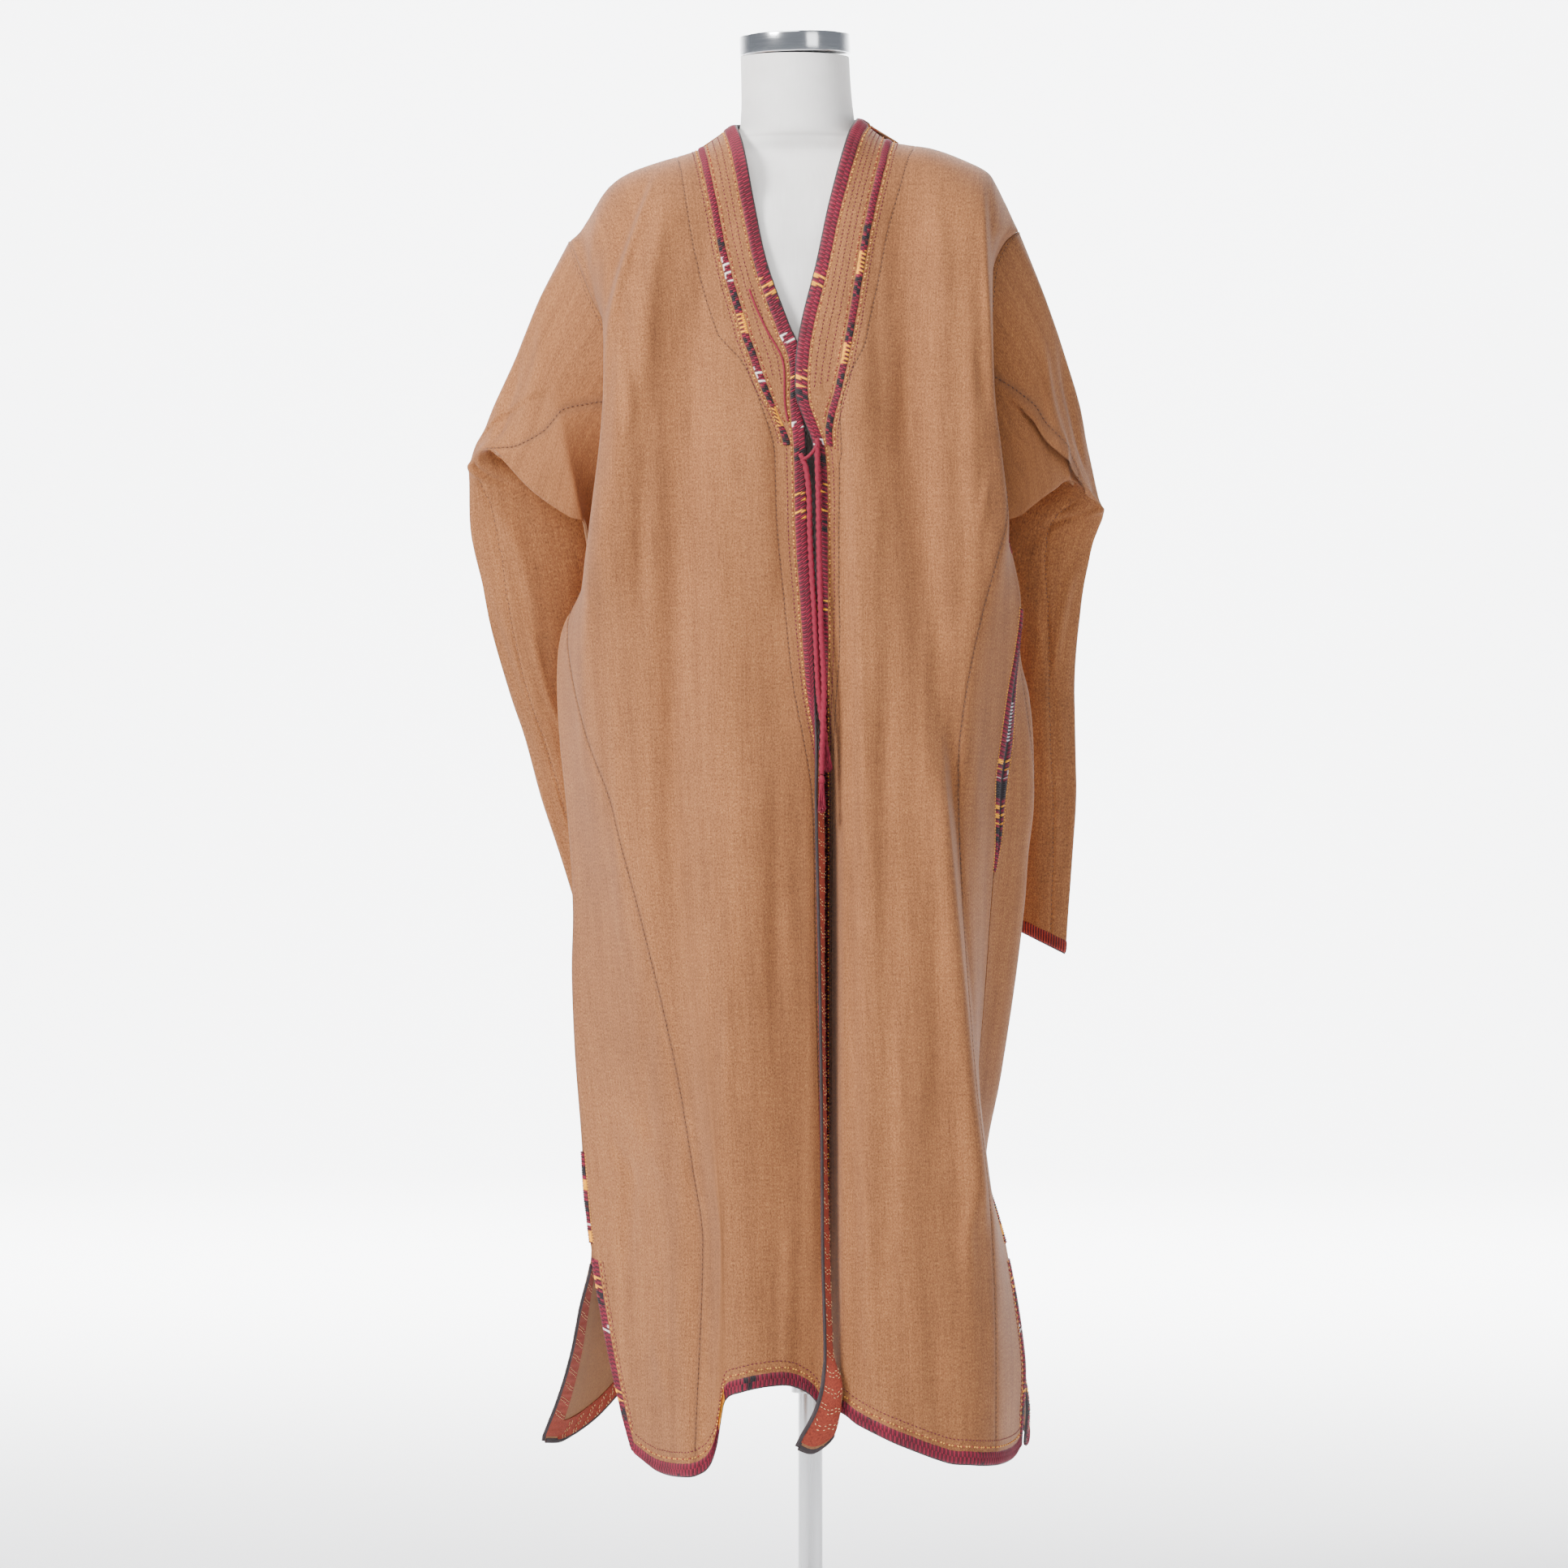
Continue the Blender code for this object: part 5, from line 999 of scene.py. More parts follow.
linen = linen_cover("linen_cover")
heights = np.concatenate([np.linspace(1528, 1400, 110), np.linspace(1397, 780, 120)])
turns = np.arange(FORM_SIDES) / FORM_SIDES * 2 * math.pi
half_x, half_y, mid_x, mid_y = (track(FORM, heights, k)[:, None] for k in range(1, 5))
power = (2.0 + 0.25 * ease((1460 - heights) / 40))[:, None]
reach = (np.abs(np.cos(turns)) ** power + np.abs(np.sin(turns)) ** power) ** (-1 / power)
NECK_SEAM = 1450.6
seam = np.exp(-((heights - NECK_SEAM) / 1.3) ** 2)[:, None]
inset = 1 - 0.006 * seam
torso = np.stack([mid_x + half_x * reach * inset * np.cos(turns), mid_y + half_y * reach * inset * np.sin(turns),
                  np.broadcast_to(heights[:, None], (len(heights), FORM_SIDES))], axis=2)
n = len(heights)
points = torso.reshape(-1, 3)
faces = grid_faces(n, FORM_SIDES, ring=True, flip=True).tolist()
faces += [list(range(FORM_SIDES)), list(range(n * FORM_SIDES - 1, (n - 1) * FORM_SIDES - 1, -1))]
around = np.broadcast_to(turns[None, :] * 150, (n, FORM_SIDES))
flat = np.stack([around, np.broadcast_to(heights[:, None], (n, FORM_SIDES))], axis=2).reshape(-1, 2)
# Painted shade along the neck seam, where the cover is drawn in.
seam_shade_and_back = np.zeros((n * FORM_SIDES, 4))
seam_shade_and_back[:, 3] = 1
seam_shade_and_back[:, 0] = np.broadcast_to(seam, (n, FORM_SIDES)).ravel() * 0.5
cover = mesh_piece("linen_torso", points, faces, linen, flat, seam_shade_and_back, sharp=50)
dress(cover, "form_torso")


# Metal parts. A turned chrome cap closes the neck, and a brushed steel pole with a clamp ring stands in a round
# steel plate.
def brushed(name, colour, rough, grain):
    made, add = new_material(name, rough, 1.0)
    streak = grained(add, add("TexCoord").outputs["Object"], grain, 4.0, 0.6)
    low = tuple(0.86 * c for c in colour)
    shade = add("MixRGB", {"Color1": (*low, 1), "Color2": (*colour, 1)}, Fac=streak.outputs["Fac"])
    gloss = add("MapRange", {"From Min": 0.3, "From Max": 0.7, "To Min": rough * 0.8, "To Max": rough * 1.25},
                Value=streak.outputs["Fac"])
    made.node_tree.links.new(gloss.outputs[0], made.node_tree.nodes["Principled BSDF"].inputs["Roughness"])
    return surfaced(made, add, shade.outputs[0], streak.outputs["Fac"], 0.08, 0.0002)


chrome = brushed("chrome_cap", (0.78, 0.79, 0.81), 0.16, (30, 30, 900))
steel = brushed("brushed_pole", (0.66, 0.66, 0.67), 0.3, (900, 900, 12))
plate_steel = brushed("satin_plate", (0.60, 0.60, 0.61), 0.36, (300, 300, 300))


def turned(name, rings, material, bevel, lean=0.0, place=(0, 0, 0), sides=96):
    """A lathe-turned piece from a cylinder that is inset and extruded to its rings of radius and height."""
    for other in bpy.context.selected_objects:
        other.select_set(False)
    radius, low = rings[0]
    _, high = rings[1]
    bpy.ops.mesh.primitive_cylinder_add(vertices=sides, radius=radius * MM, depth=(high - low) * MM,
                                        location=(0, 0, (low + high) / 2 * MM))
    made = bpy.context.object
    made.name = made.data.name = name
    bpy.ops.object.transform_apply(location=True, rotation=True, scale=True)
    bpy.ops.object.mode_set(mode="EDIT")
    bpy.ops.mesh.select_mode(type="FACE")
    for wide, tall in rings[2:]:
        bpy.ops.mesh.select_all(action="DESELECT")
        bpy.ops.object.mode_set(mode="OBJECT")
        upper = max(made.data.polygons, key=lambda face: (round(face.center.z, 6), -face.area))
        upper.select = True
        bpy.ops.object.mode_set(mode="EDIT")
        now = max((made.data.vertices[k].co.xy.length for k in upper.vertices))
        if wide < now / MM - 1e-6:
            bpy.ops.mesh.inset(thickness=now - wide * MM, use_even_offset=False)
        bpy.ops.mesh.extrude_region_move(TRANSFORM_OT_translate={"value": (0, 0, tall * MM)})
    bpy.ops.mesh.select_all(action="SELECT")
    bpy.ops.mesh.normals_make_consistent(inside=False)
    bpy.ops.object.mode_set(mode="OBJECT")
    edge = made.modifiers.new("edge", "BEVEL")
    edge.width = bevel * MM
    edge.segments = 3
    edge.limit_method = "ANGLE"
    bpy.ops.object.modifier_apply(modifier="edge")
    made.rotation_euler[1] = lean
    made.location = [c * MM for c in place]
    bpy.ops.object.transform_apply(location=True, rotation=True, scale=True)
    made.data.materials.clear()
    made.data.materials.append(material)
    bpy.ops.object.shade_smooth_by_angle(angle=math.radians(30))
    return made


cap = turned("chrome_neck_cap", ((52.4, -9.5), (52.4, 9.5)), chrome, 1.2, math.radians(-1.6), (-14.8, 2, 1539.25))
dress(cap, "neck_cap")
dress(turned("steel_pole", ((11.5, 34.3), (11.5, 779.7)), steel, 0.5), "pole")
dress(turned("round_base", ((185, 0), (185, 10), (26, 20), (22, 4)), plate_steel, 1.6, sides=128), "base")
dress(turned("clamp_ring", ((18, 262), (18, 276)), steel, 1.0), "pole_collar")


# Edge braids. A crimson braid is worked with the needle over the turned edge of each front, in close ribs, with
# short passages of saffron prongs, black checks and white loops. A dark grey-brown piping rolls over the very edge.
CRIMSON = (0.215, 0.0015, 0.024)
DEEP_CRIMSON = (0.068, 0.001, 0.009)
SAFFRON = (0.86, 0.36, 0.0)
BLACK = (0.010, 0.004, 0.007)
WHITE = (0.80, 0.72, 0.68)
PIPING = (0.032, 0.021, 0.023)
RIB = 2.1
# Passages on the edge braids: top and bottom height, and the kind of stitch.
EDGE_BANDS = {
    "right": ((1330, 1312, "dots"), (1311, 1292, "prongs"), (1290, 1276, "dots"), (1259, 1250, "loops"),
              (1246, 1228, "dots"), (1223, 1212, "prongs"), (1207, 1198, "checks"), (1176, 1171, "loops"),
              (1152, 1140, "checks"), (1110, 1103, "prongs"), (1094, 1086, "prongs"), (1050, 1040, "dots"),
              (640, 632, "dots"), (402, 396, "dots")),
    "left": ((1332, 1319, "dots"), (1318, 1302, "prongs"), (1300, 1284, "dots"), (1224, 1208, "prongs"),
             (1206, 1195, "checks"), (1160, 1154, "loops"), (1146, 1134, "checks"), (1118, 1110, "prongs"),
             (1100, 1092, "prongs"), (1084, 1072, "checks"), (1010, 1000, "prongs")),
}


def braid_thread(name):
    """Silky wool thread in the colours laid on the stitches, with a fine twist."""
    made, add = new_material(name, 0.7, 0, 0.03)
    place = add("TexCoord").outputs["Object"]
    hand = add("VertexColor", {"layer_name": "thread"})
    fibre = add("TexNoise", {"Scale": 1100.0, "Detail": 3.0}, Vector=place)
    fade = add("TexNoise", {"Scale": 45.0, "Detail": 2.0}, Vector=place)
    both = add("Math", {"operation": "MULTIPLY_ADD", 1: 0.55}, _0=fibre.outputs["Fac"], _2=fade.outputs["Fac"])
    tone = ramp(add, both.outputs[0], 0.5, (0.66, 0.66, 0.66), 1.0, (1.25, 1.22, 1.22))
    shade = add("MixRGB", {"blend_type": "MULTIPLY", "Fac": 1.0}, Color1=hand.outputs["Color"], Color2=tone)
    return surfaced(made, add, shade.outputs[0], fibre.outputs["Fac"], 0.5)


thread = braid_thread("braid_thread")


def length_down(cloth, d):
    """Millimetres of cloth for a whole share of t at the hem."""
    last = at(cloth, np.ones_like(d), d)[0] - at(cloth, np.full_like(d, 0.985), d)[0]
    return np.linalg.norm(last, axis=-1) / 0.015


def on_cloth(cloth, t, d):
    """Points and directions that may also lie past the cloth's side edges or below its hem."""
    t, d = np.broadcast_arrays(np.asarray(t, float), np.asarray(d, float))
    t_in = np.clip(t, 0, 1)
    width = down_cloth(t_in, cloth["along"][:, -1])
    d_in = np.clip(d, 0, width)
    point, out = at(cloth, t_in, d_in)
    past = d - d_in
    inward = at(cloth, t_in, np.clip(d_in - 1.5 * np.sign(past), 0, width))[0]
    point = point + unit(point - inward) * np.abs(past)[..., None]
    below = (t - t_in) * length_down(cloth, d_in)
    above = at(cloth, np.clip(t_in - 0.003, 0, 1), d_in)[0]
    return point + unit(point - above) * np.maximum(below, 0)[..., None], out


def steps_down(cloth, distance, t0, t1, pitch):
    """Shares t at an even pitch down a line that lies at a distance from the first edge in each row."""
    fine = np.linspace(t0, t1, 1400)
    d = down_cloth(fine, distance)
    run = run_of(on_cloth(cloth, fine, d)[0])
    count = max(1, round(run[-1] / pitch))
    t = np.interp(np.arange(count + 1) * run[-1] / count, run, fine)
    return t, down_cloth(t, distance)


def steps_across(cloth, above, d0, d1, pitch):
    """Shares and distances at an even pitch along a line that lies above the hem."""
    fine = np.linspace(d0, d1, 1400)
    t = 1 - above / length_down(cloth, fine)
    run = run_of(on_cloth(cloth, t, fine)[0])
    count = max(1, round(run[-1] / pitch))
    d = np.interp(np.arange(count + 1) * run[-1] / count, run, fine)
    return 1 - above / length_down(cloth, d), d


def band_colour(bands, place, rib, share):
    """The thread's colour on one rib of a braid, at a share of its width, from the passage it lies in."""
    base = CRIMSON if (rib + (1 if share > 0.5 else 0)) % 2 else DEEP_CRIMSON
    for first, last, kind in bands:
        if min(first, last) <= place <= max(first, last):
            if kind == "prongs":
                if rib % 4 == 0 or (rib % 4 == 1 and share < 0.3):
                    return SAFFRON
            elif kind == "checks":
                if (rib // 2 + int(share * 2)) % 2 or rib % 5 == 0:
                    return BLACK
            elif kind == "dots":
                if (share < 0.14 or share > 0.84) and rib % 3 == 1:
                    return BLACK
            elif kind == "loops":
                if rib % 4 == 0 or (rib % 4 < 3 and share > 0.84):
                    return WHITE
            elif kind == "bars":
                if rib % 2 == 0 or share < 0.4:
                    return SAFFRON
            elif kind == "black":
                return BLACK
    return base


EDGE_PROFILE = (  # distance in from the edge, height over the cloth, and 1 where the thread is piping
    (10.4, 0.05, 0), (9.9, 0.75, 0), (8.2, 1.35, 0), (5.6, 1.5, 0), (5.1, 1.15, 0), (4.6, 1.5, 0), (2.2, 1.4, 0),
    (0.2, 1.0, 0), (-1.1, 0.35, 0), (-1.5, -0.1, 1), (-2.6, -0.9, 1), (-2.0, -2.0, 1), (0.4, -2.6, 1),
    (2.9, -1.45, 1))
RIBBED = 0.3  # thread that stands higher than this swells and sinks with the ribs


def ribs(steps, relief=0.6):
    """How high the thread stands in each row. Four rows make a rib."""
    return 1 - relief + relief * np.abs(np.sin(math.pi * (np.arange(steps) % 4) / 4))


def braid(name, cloth, t, d, profile, bands, place, toward=1, by_height=True):
    """A ribbed braid over the cloth. Each rib has four rows, and place gives what the bands are measured by."""
    steps = len(t)
    columns = len(profile)
    points = np.empty((steps, columns, 3))
    colours = np.ones((steps, columns, 4))
    rib = np.arange(steps) // 4
    swell = ribs(steps)
    low, high = min(p[0] for p in profile if not p[2]), max(p[0] for p in profile if not p[2])
    wobble = 0.12 * np.sin(np.arange(steps) * 0.37) + 0.1 * np.sin(np.arange(steps) * 0.113)
    for c, (away, lift, piping) in enumerate(profile):
        spot_t, spot_d = place(t, d, toward * away + (0 if piping else wobble))
        base, out = on_cloth(cloth, spot_t, spot_d)
        points[:, c] = base + out * (lift * swell if lift > RIBBED else np.full(steps, lift))[:, None]
        share = (away - low) / max(high - low, 1e-6)
        for i in range(steps):
            where = points[i, c, 2] if by_height else i / max(steps - 1, 1)
            colours[i, c, :3] = PIPING if piping else band_colour(bands, where, int(rib[i]), share)
    faces = grid_faces(steps, columns)
    ends = [list(range(columns)), list(range(steps * columns - 1, (steps - 1) * columns - 1, -1))]
    a, b = points[steps // 2, columns // 3], points[steps // 2, columns // 3 + 1]
    c = points[min(steps // 2 + 1, steps - 1), columns // 3]
    normal = np.cross(b - a, c - a)
    outward = on_cloth(cloth, t[steps // 2], place(t, d, 0)[1][steps // 2])[1]
    close = [(i * columns + columns - 1, i * columns, (i + 1) * columns, (i + 1) * columns + columns - 1)
             for i in range(steps - 1)]
    faces = faces.tolist() + close + [list(reversed(end)) for end in ends]
    if normal @ outward < 0:
        faces = [face[::-1] for face in faces]
    return mesh_piece(name, points.reshape(-1, 3), faces, thread, thread=colours.reshape(-1, 4), sharp=75)


def beside(t, d, away):
    """The place of a braid's thread that runs down a cloth."""
    return t, d + away


for side in ("right", "left"):
    cloth = fronts[side]
    zero = np.zeros(ROWS + 1)
    t, d = steps_down(cloth, zero, 0.0, 1.0, RIB / 4)
    made = braid(f"{side}_front_edge_braid", cloth, t, d, EDGE_PROFILE, EDGE_BANDS[side], beside)
    dress(made, f"{side}_edge_braid")


# Neck braids. A narrower braid of the same work starts at each shoulder and runs down beside the first one until
# the two meet at the breast, plain at the top and then in black, saffron and white.
NECK_BANDS = {
    "right": ((1350, 1337, "checks"), (1331, 1308, "loops"), (1300, 1281, "checks"), (1278, 1259, "bars"),
              (1254, 1237, "checks"), (1227, 1213, "loops"), (1210, 1193, "checks"), (1190, 1172, "bars"),
              (1168, 1150, "checks")),
    "left": ((1363, 1341, "checks"), (1337, 1315, "bars"), (1312, 1293, "checks"), (1269, 1252, "checks"),
             (1250, 1230, "bars"), (1220, 1208, "checks"), (1182, 1164, "checks")),
}
NECK_PROFILE = ((3.3, 0.05, 0), (3.1, 0.7, 0), (1.9, 1.35, 0), (0.2, 1.55, 0), (-0.2, 1.55, 0), (-1.9, 1.35, 0),
                (-3.1, 0.7, 0), (-3.3, 0.05, 0))


def share_at(cloth, high, column):
    """The share t down a cloth where one of its columns reaches a height."""
    return np.interp(-high, -cloth["points"][:, column, 2], np.arange(ROWS + 1)) / ROWS


neck_line, neck_end = {}, {}
for side in ("right", "left"):
    cloth = fronts[side]
    points = cloth["points"]
    distance = np.full(ROWS + 1, 14.6)
    for k in range(ROWS + 1):
        if points[k, 0, 2] < 1140:
            break
        past = np.abs(points[k, :, 0] - points[k, 0, 0]) - np.abs(track(BRAID_LINE[side], points[k, :, 2], 1)
                                                                   - points[k, 0, 0])
        crossed = np.nonzero(past[:120] >= 0)[0]
        if len(crossed) and crossed[0] > 0:
            c = crossed[0]
            share = past[c - 1] / (past[c - 1] - past[c])
            distance[k] = cloth["along"][k, c - 1] + (cloth["along"][k, c] - cloth["along"][k, c - 1]) * share
    distance = np.maximum(distance, 14.0)
    smoothed = np.convolve(np.pad(distance, 6, mode="edge"), np.ones(13) / 13, mode="valid")
    neck_line[side] = smoothed
    neck_end[side] = share_at(cloth, 1160, 0)
    t, d = steps_down(cloth, neck_line[side], 0.003, neck_end[side], RIB / 4)
    made = braid(f"{side}_front_neck_braid", cloth, t, d, NECK_PROFILE, NECK_BANDS[side], beside)
    dress(made, f"{side}_neck_braid")


# Hand stitching of the fronts. Lines of gold backstitch run along both sides of every braid and hem, with thin lines
# of dark crimson running stitch outside them and between the two neck braids.
GOLD = (0.85, 0.40, 0.06)
GOLD_RED = (0.30, 0.035, 0.018)
THIN_RED = (0.12, 0.003, 0.018)
GOLD_STITCH = {"pitch": 2.9, "length": 2.3, "width": 1.9, "height": 1.1, "colours": (GOLD, GOLD, GOLD_RED)}
MIXED_STITCH = {**GOLD_STITCH, "colours": (GOLD, GOLD_RED)}
WORN_STITCH = {**GOLD_STITCH, "colours": (GOLD, GOLD_RED, GOLD_RED)}
THIN_STITCH = {"pitch": 4.0, "length": 3.2, "width": 1.3, "height": 0.6, "colours": (THIN_RED,)}
GOLD_IN, THIN_IN = 12.4, 17.2  # how far in from the edge the two lines lie


def stitches(cloth, t, d, kind, deep=None):
    """A row of small stitches along a line of places on the cloth, or that deep in it on its inner side."""
    points, out = on_cloth(cloth, t, d)
    if deep:
        points, out = points - out * deep, -out
    return stitches_on(points, out, kind)


def stitches_on(points, out, kind):
    """Points, faces and colours of one stitch at each point, lying along the row."""
    if len(points) < 2:
        return None
    along = unit(np.gradient(points, axis=0))
    sideways = unit(np.cross(out, along))
    seed = np.arange(len(points))
    skew = 0.22 * np.sin(seed * 1.7) + 0.15 * np.sin(seed * 0.61)
    along = unit(along + sideways * skew[:, None])
    size = 1 + 0.13 * np.sin(seed * 2.3)
    length, width, height = kind["length"], kind["width"], kind["height"]
    shift = sideways * (0.12 * np.sin(seed * 1.13))[:, None]
    points = points + shift
    corners = [points - along * (length / 2 * size)[:, None], points + along * (length / 2 * size)[:, None],
               points - sideways * width / 2 + out * 0.08, points + sideways * width / 2 + out * 0.08,
               points + out * height + along * length * 0.18, points + out * height - along * length * 0.18]
    body = np.stack(corners, axis=1).reshape(-1, 3)
    pattern = [(0, 2, 5), (2, 4, 5), (2, 1, 4), (0, 5, 3), (3, 5, 4), (3, 4, 1), (0, 1, 2), (0, 3, 1)]
    faces = (np.arange(len(points))[:, None, None] * 6 + np.array(pattern)[None]).reshape(-1, 3)
    colours = kind["colours"]
    chosen = np.array([colours[k % len(colours)] for k in range(len(points))])
    colour = np.concatenate([np.repeat(chosen, 6, axis=0), np.ones((len(body), 1))], axis=1)
    return body, faces, colour


def sewn(name, rows):
    """One joined mesh from several rows of stitches."""
    rows = [row for row in rows if row is not None]
    points, faces, colours, start = [], [], [], 0
    for body, face, colour in rows:
        points.append(body)
        faces.append(face + start)
        colours.append(colour)
        start += len(body)
    return mesh_piece(name, np.concatenate(points), np.concatenate(faces), thread, thread=np.concatenate(colours))


def down_row(cloth, distance, t0, t1, kind):
    return stitches(cloth, *steps_down(cloth, distance, t0, t1, kind["pitch"]), kind)


def across_row(cloth, above, d0, d1, kind):
    return stitches(cloth, *steps_across(cloth, above, d0, d1, kind["pitch"]), kind)


for side in ("right", "left"):
    cloth, line = fronts[side], neck_line[side]
    meet = neck_end[side]
    first = np.full(ROWS + 1, GOLD_IN)
    rows = [down_row(cloth, first, 0.0, 0.995, GOLD_STITCH),
            down_row(cloth, line - 6.0, 0.003, meet - 0.02, WORN_STITCH),
            down_row(cloth, line + 5.6, 0.003, meet, GOLD_STITCH),
            down_row(cloth, line + 8.9, 0.003, meet, THIN_STITCH),
            down_row(cloth, np.full(ROWS + 1, THIN_IN), meet, 0.99, THIN_STITCH)]
    for share in ((0.34, 0.66) if side == "right" else (0.24, 0.48, 0.74)):
        between = GOLD_IN + (line - 6.0 - GOLD_IN) * share
        rows.append(down_row(cloth, between, 0.003, meet - 0.045 - 0.02 * share, THIN_STITCH))
    dress(sewn(f"{side}_front_stitching", rows))


# Hem bindings. The hem of each front and of the back is bound with the same ribbed crimson work, with a few saffron
# stitches in the right front's and the back's. The turned-out corner of the right front keeps its own edge braid.
def above_hem(cloth):
    """The same for a braid that runs along the hem."""
    return lambda t, d, away: (t - away / length_down(cloth, d), d)


HEM_BANDS = {"right": ((0.50, 0.58, "bars"), (0.40, 0.44, "checks"), (0.20, 0.23, "dots"), (0.78, 0.80, "dots")),
             "left": ((0.30, 0.33, "dots"), (0.62, 0.64, "dots")),
             "back": ((0.30, 0.32, "prongs"), (0.7, 0.72, "dots"))}
HEM_START = {"right": 2.0, "left": 6.0, "back": 3.0}
hemmed = {"right": fronts["right"], "left": fronts["left"], "back": back}
for name, cloth in hemmed.items():
    t, d = steps_across(cloth, 0.0, HEM_START[name], cloth["along"][-1, -1] - 3.0, RIB / 4)
    made = braid(f"{name}_hem_edging", cloth, t, d, EDGE_PROFILE, HEM_BANDS[name], above_hem(cloth), by_height=False)
    dress(made, f"{name}_hem_binding")
    first, last = 46.0 if name == "right" else HEM_START[name] + 2, cloth["along"][-1, -1] - 14
    rows = [across_row(cloth, 14.6, first, last, GOLD_STITCH),
            across_row(cloth, 20.8, first, last, THIN_STITCH)]
    dress(sewn(f"{name}_hem_stitching", rows))


# Slit edgings. Both side slits are bound on all four edges from the slit's top down to the hem, with passages of
# saffron, black and white, and a line of gold and one of dark crimson stitches run beside them.
SLIT_TOP = 392.0
SLIT_BANDS = ((379, 363, "prongs"), (361, 348, "checks"), (330, 322, "loops"), (274, 259, "prongs"),
              (255, 242, "checks"))
SLIT_PROFILE = tuple((away * 0.9, lift, piping) for away, lift, piping in EDGE_PROFILE)
SLITS = {
    "right_slit_braid": (fronts["right"], True, SLIT_TOP),
    "left_slit_braid": (fronts["left"], True, SLIT_TOP),
    "right_back_slit_braid": (back, False, SLIT_TOP - 6),
    "left_back_slit_braid": (back, True, SLIT_TOP - 6),
}
for node, (cloth, far, top) in SLITS.items():
    edge = cloth["along"][:, -1] if far else np.zeros(ROWS + 1)
    turn = -1 if far else 1
    t0 = share_at(cloth, top, -1 if far else 0)
    t, d = steps_down(cloth, edge, t0, 1.0, RIB / 4)
    made = braid(node.replace("_braid", "_edging"), cloth, t, d, SLIT_PROFILE, SLIT_BANDS, beside, toward=turn)
    dress(made, node)
    rows = [down_row(cloth, edge + turn * 12.8, t0, 0.985, MIXED_STITCH),
            down_row(cloth, edge + turn * 16.8, t0, 0.98, THIN_STITCH)]
    dress(sewn(node.replace("_braid", "_stitching"), rows))


# Facings. Strips of brick-red wool are felled inside the front edge, the back slit and the back hem. Pairs of
# slanting tan stitches hold them, and they show where the corner of the right front turns out.
def facing_wool(name):
    made, add = new_material(name, 0.88, 0, 0.05)
    uv = add("UVMap", {"uv_map": "cloth"}).outputs["UV"]
    noise = grained(add, uv, (800.0, 500.0, 1.0))
    shade = ramp(add, noise.outputs["Fac"], 0.3, (0.155, 0.019, 0.009), 0.7, (0.37, 0.050, 0.022))
    return surfaced(made, add, shade, noise.outputs["Fac"], 0.3)


facing_cloth = facing_wool("facing_wool")
TAN = (0.80, 0.50, 0.24)
TAN_STITCH = {"pitch": 3.2, "length": 3.0, "width": 0.9, "height": 0.5, "colours": (TAN,)}
STRIP_STEPS = 10
FACINGS = {  # the cloth, first and last distance in from the edge, whether the edge is the far one, top height
    "right_front_facing": (fronts["right"], 0.6, 24.0, "near", 850.0),
    "right_back_slit_facing": (back, 0.6, 21.0, "near", 386.0),
    "right_back_hem_facing": (back, 0.6, 21.0, "hem", None),
}
for node, (cloth, near, deep, edge, top) in FACINGS.items():
    strip = np.linspace(near, deep, STRIP_STEPS + 1)
    if edge == "hem":
        span = cloth["along"][-1, -1]
        d = np.linspace(20.0, span * 0.42, 150)[:, None]
        t = 1 - strip[None, :] / length_down(cloth, d)
    else:
        t = np.linspace(share_at(cloth, top, 0), 0.997, 180)[:, None]
        low = down_cloth(t[:, 0], cloth["points"][:, 0, 2])
        wider = 1 + (0.65 * ease((272 - low) / 30) if node == "right_front_facing" else 0 * low)
        d = strip[None, :] * wider[:, None]
    points, out = on_cloth(cloth, t, d)
    t, d = np.broadcast_arrays(t, d)
    bulge = np.sin(math.pi * np.arange(STRIP_STEPS + 1) / STRIP_STEPS)
    ripple = 0.25 * np.sin(np.arange(len(points)) * 0.8)[:, None] * bulge[None, :]
    inner = points - out * (WALL + 0.85 + ripple)[..., None]
    run = run_of(points[:, STRIP_STEPS // 2])
    uv = np.stack([np.broadcast_to(strip, d.shape), -np.broadcast_to(run[:, None], d.shape)], axis=2)
    made = shell(node.replace("facing", "facing_strip"), inner, -out, uv, np.zeros(d.shape), facing_cloth, wall=0.8)
    dress(made, node)
    length = float(run[-1])
    rows = []
    for place in np.arange(6.0, length - 18.0, 15.0):
        for shift in (0.0, 3.4):
            slant = np.linspace(0.12, 0.88, 6)
            i = np.clip((place + shift + slant * 8.0) / length * (len(points) - 1), 0, len(points) - 1)
            c = slant * STRIP_STEPS
            i0, c0 = i.astype(int), c.astype(int)
            across_by = (0 if edge == "hem" else c - c0) * (deep - near) / STRIP_STEPS
            rows.append(stitches(cloth, t[i0, c0], d[i0, c0] + across_by, TAN_STITCH, deep=WALL + 0.95))
    dress(sewn(node.replace("facing", "facing_stitches"), rows))


# Collar. A narrow straight band of the coat's wool stands up round the back of the neck between the two front
# edges, with the edge braid carried on along its top and a strip of brick-red wool inside.
COLLAR_W = (0.002, 0.998)  # the shares of the neck's opening between which the band stands


def collar_point(w, h):
    """Points at shares w round the neck, from the right front to the left, and h of the band's height."""
    u = 0.36 + 0.28 * w
    low = back_place(u, track(BACK_NECK, u, 1) - 0.7) + np.array([0, 0, 1.8])
    corner = 1 - ease(np.minimum(w, 1 - w) / 0.07)
    low[:, 1] = low[:, 1] * (1 - corner) - 3.0 * corner
    turn = math.pi * (1 - w)
    high = np.stack([-13 + 60.5 * np.cos(turn), 62 * np.sin(turn), 1463.5 + 6 * w + 3 * np.sin(math.pi * w)], 1)
    lean = 0.8 * np.sin(w * 19) * np.sin(math.pi * h)
    return low + (high - low) * h[:, None] + np.stack([0 * w, lean, 0 * w], 1)


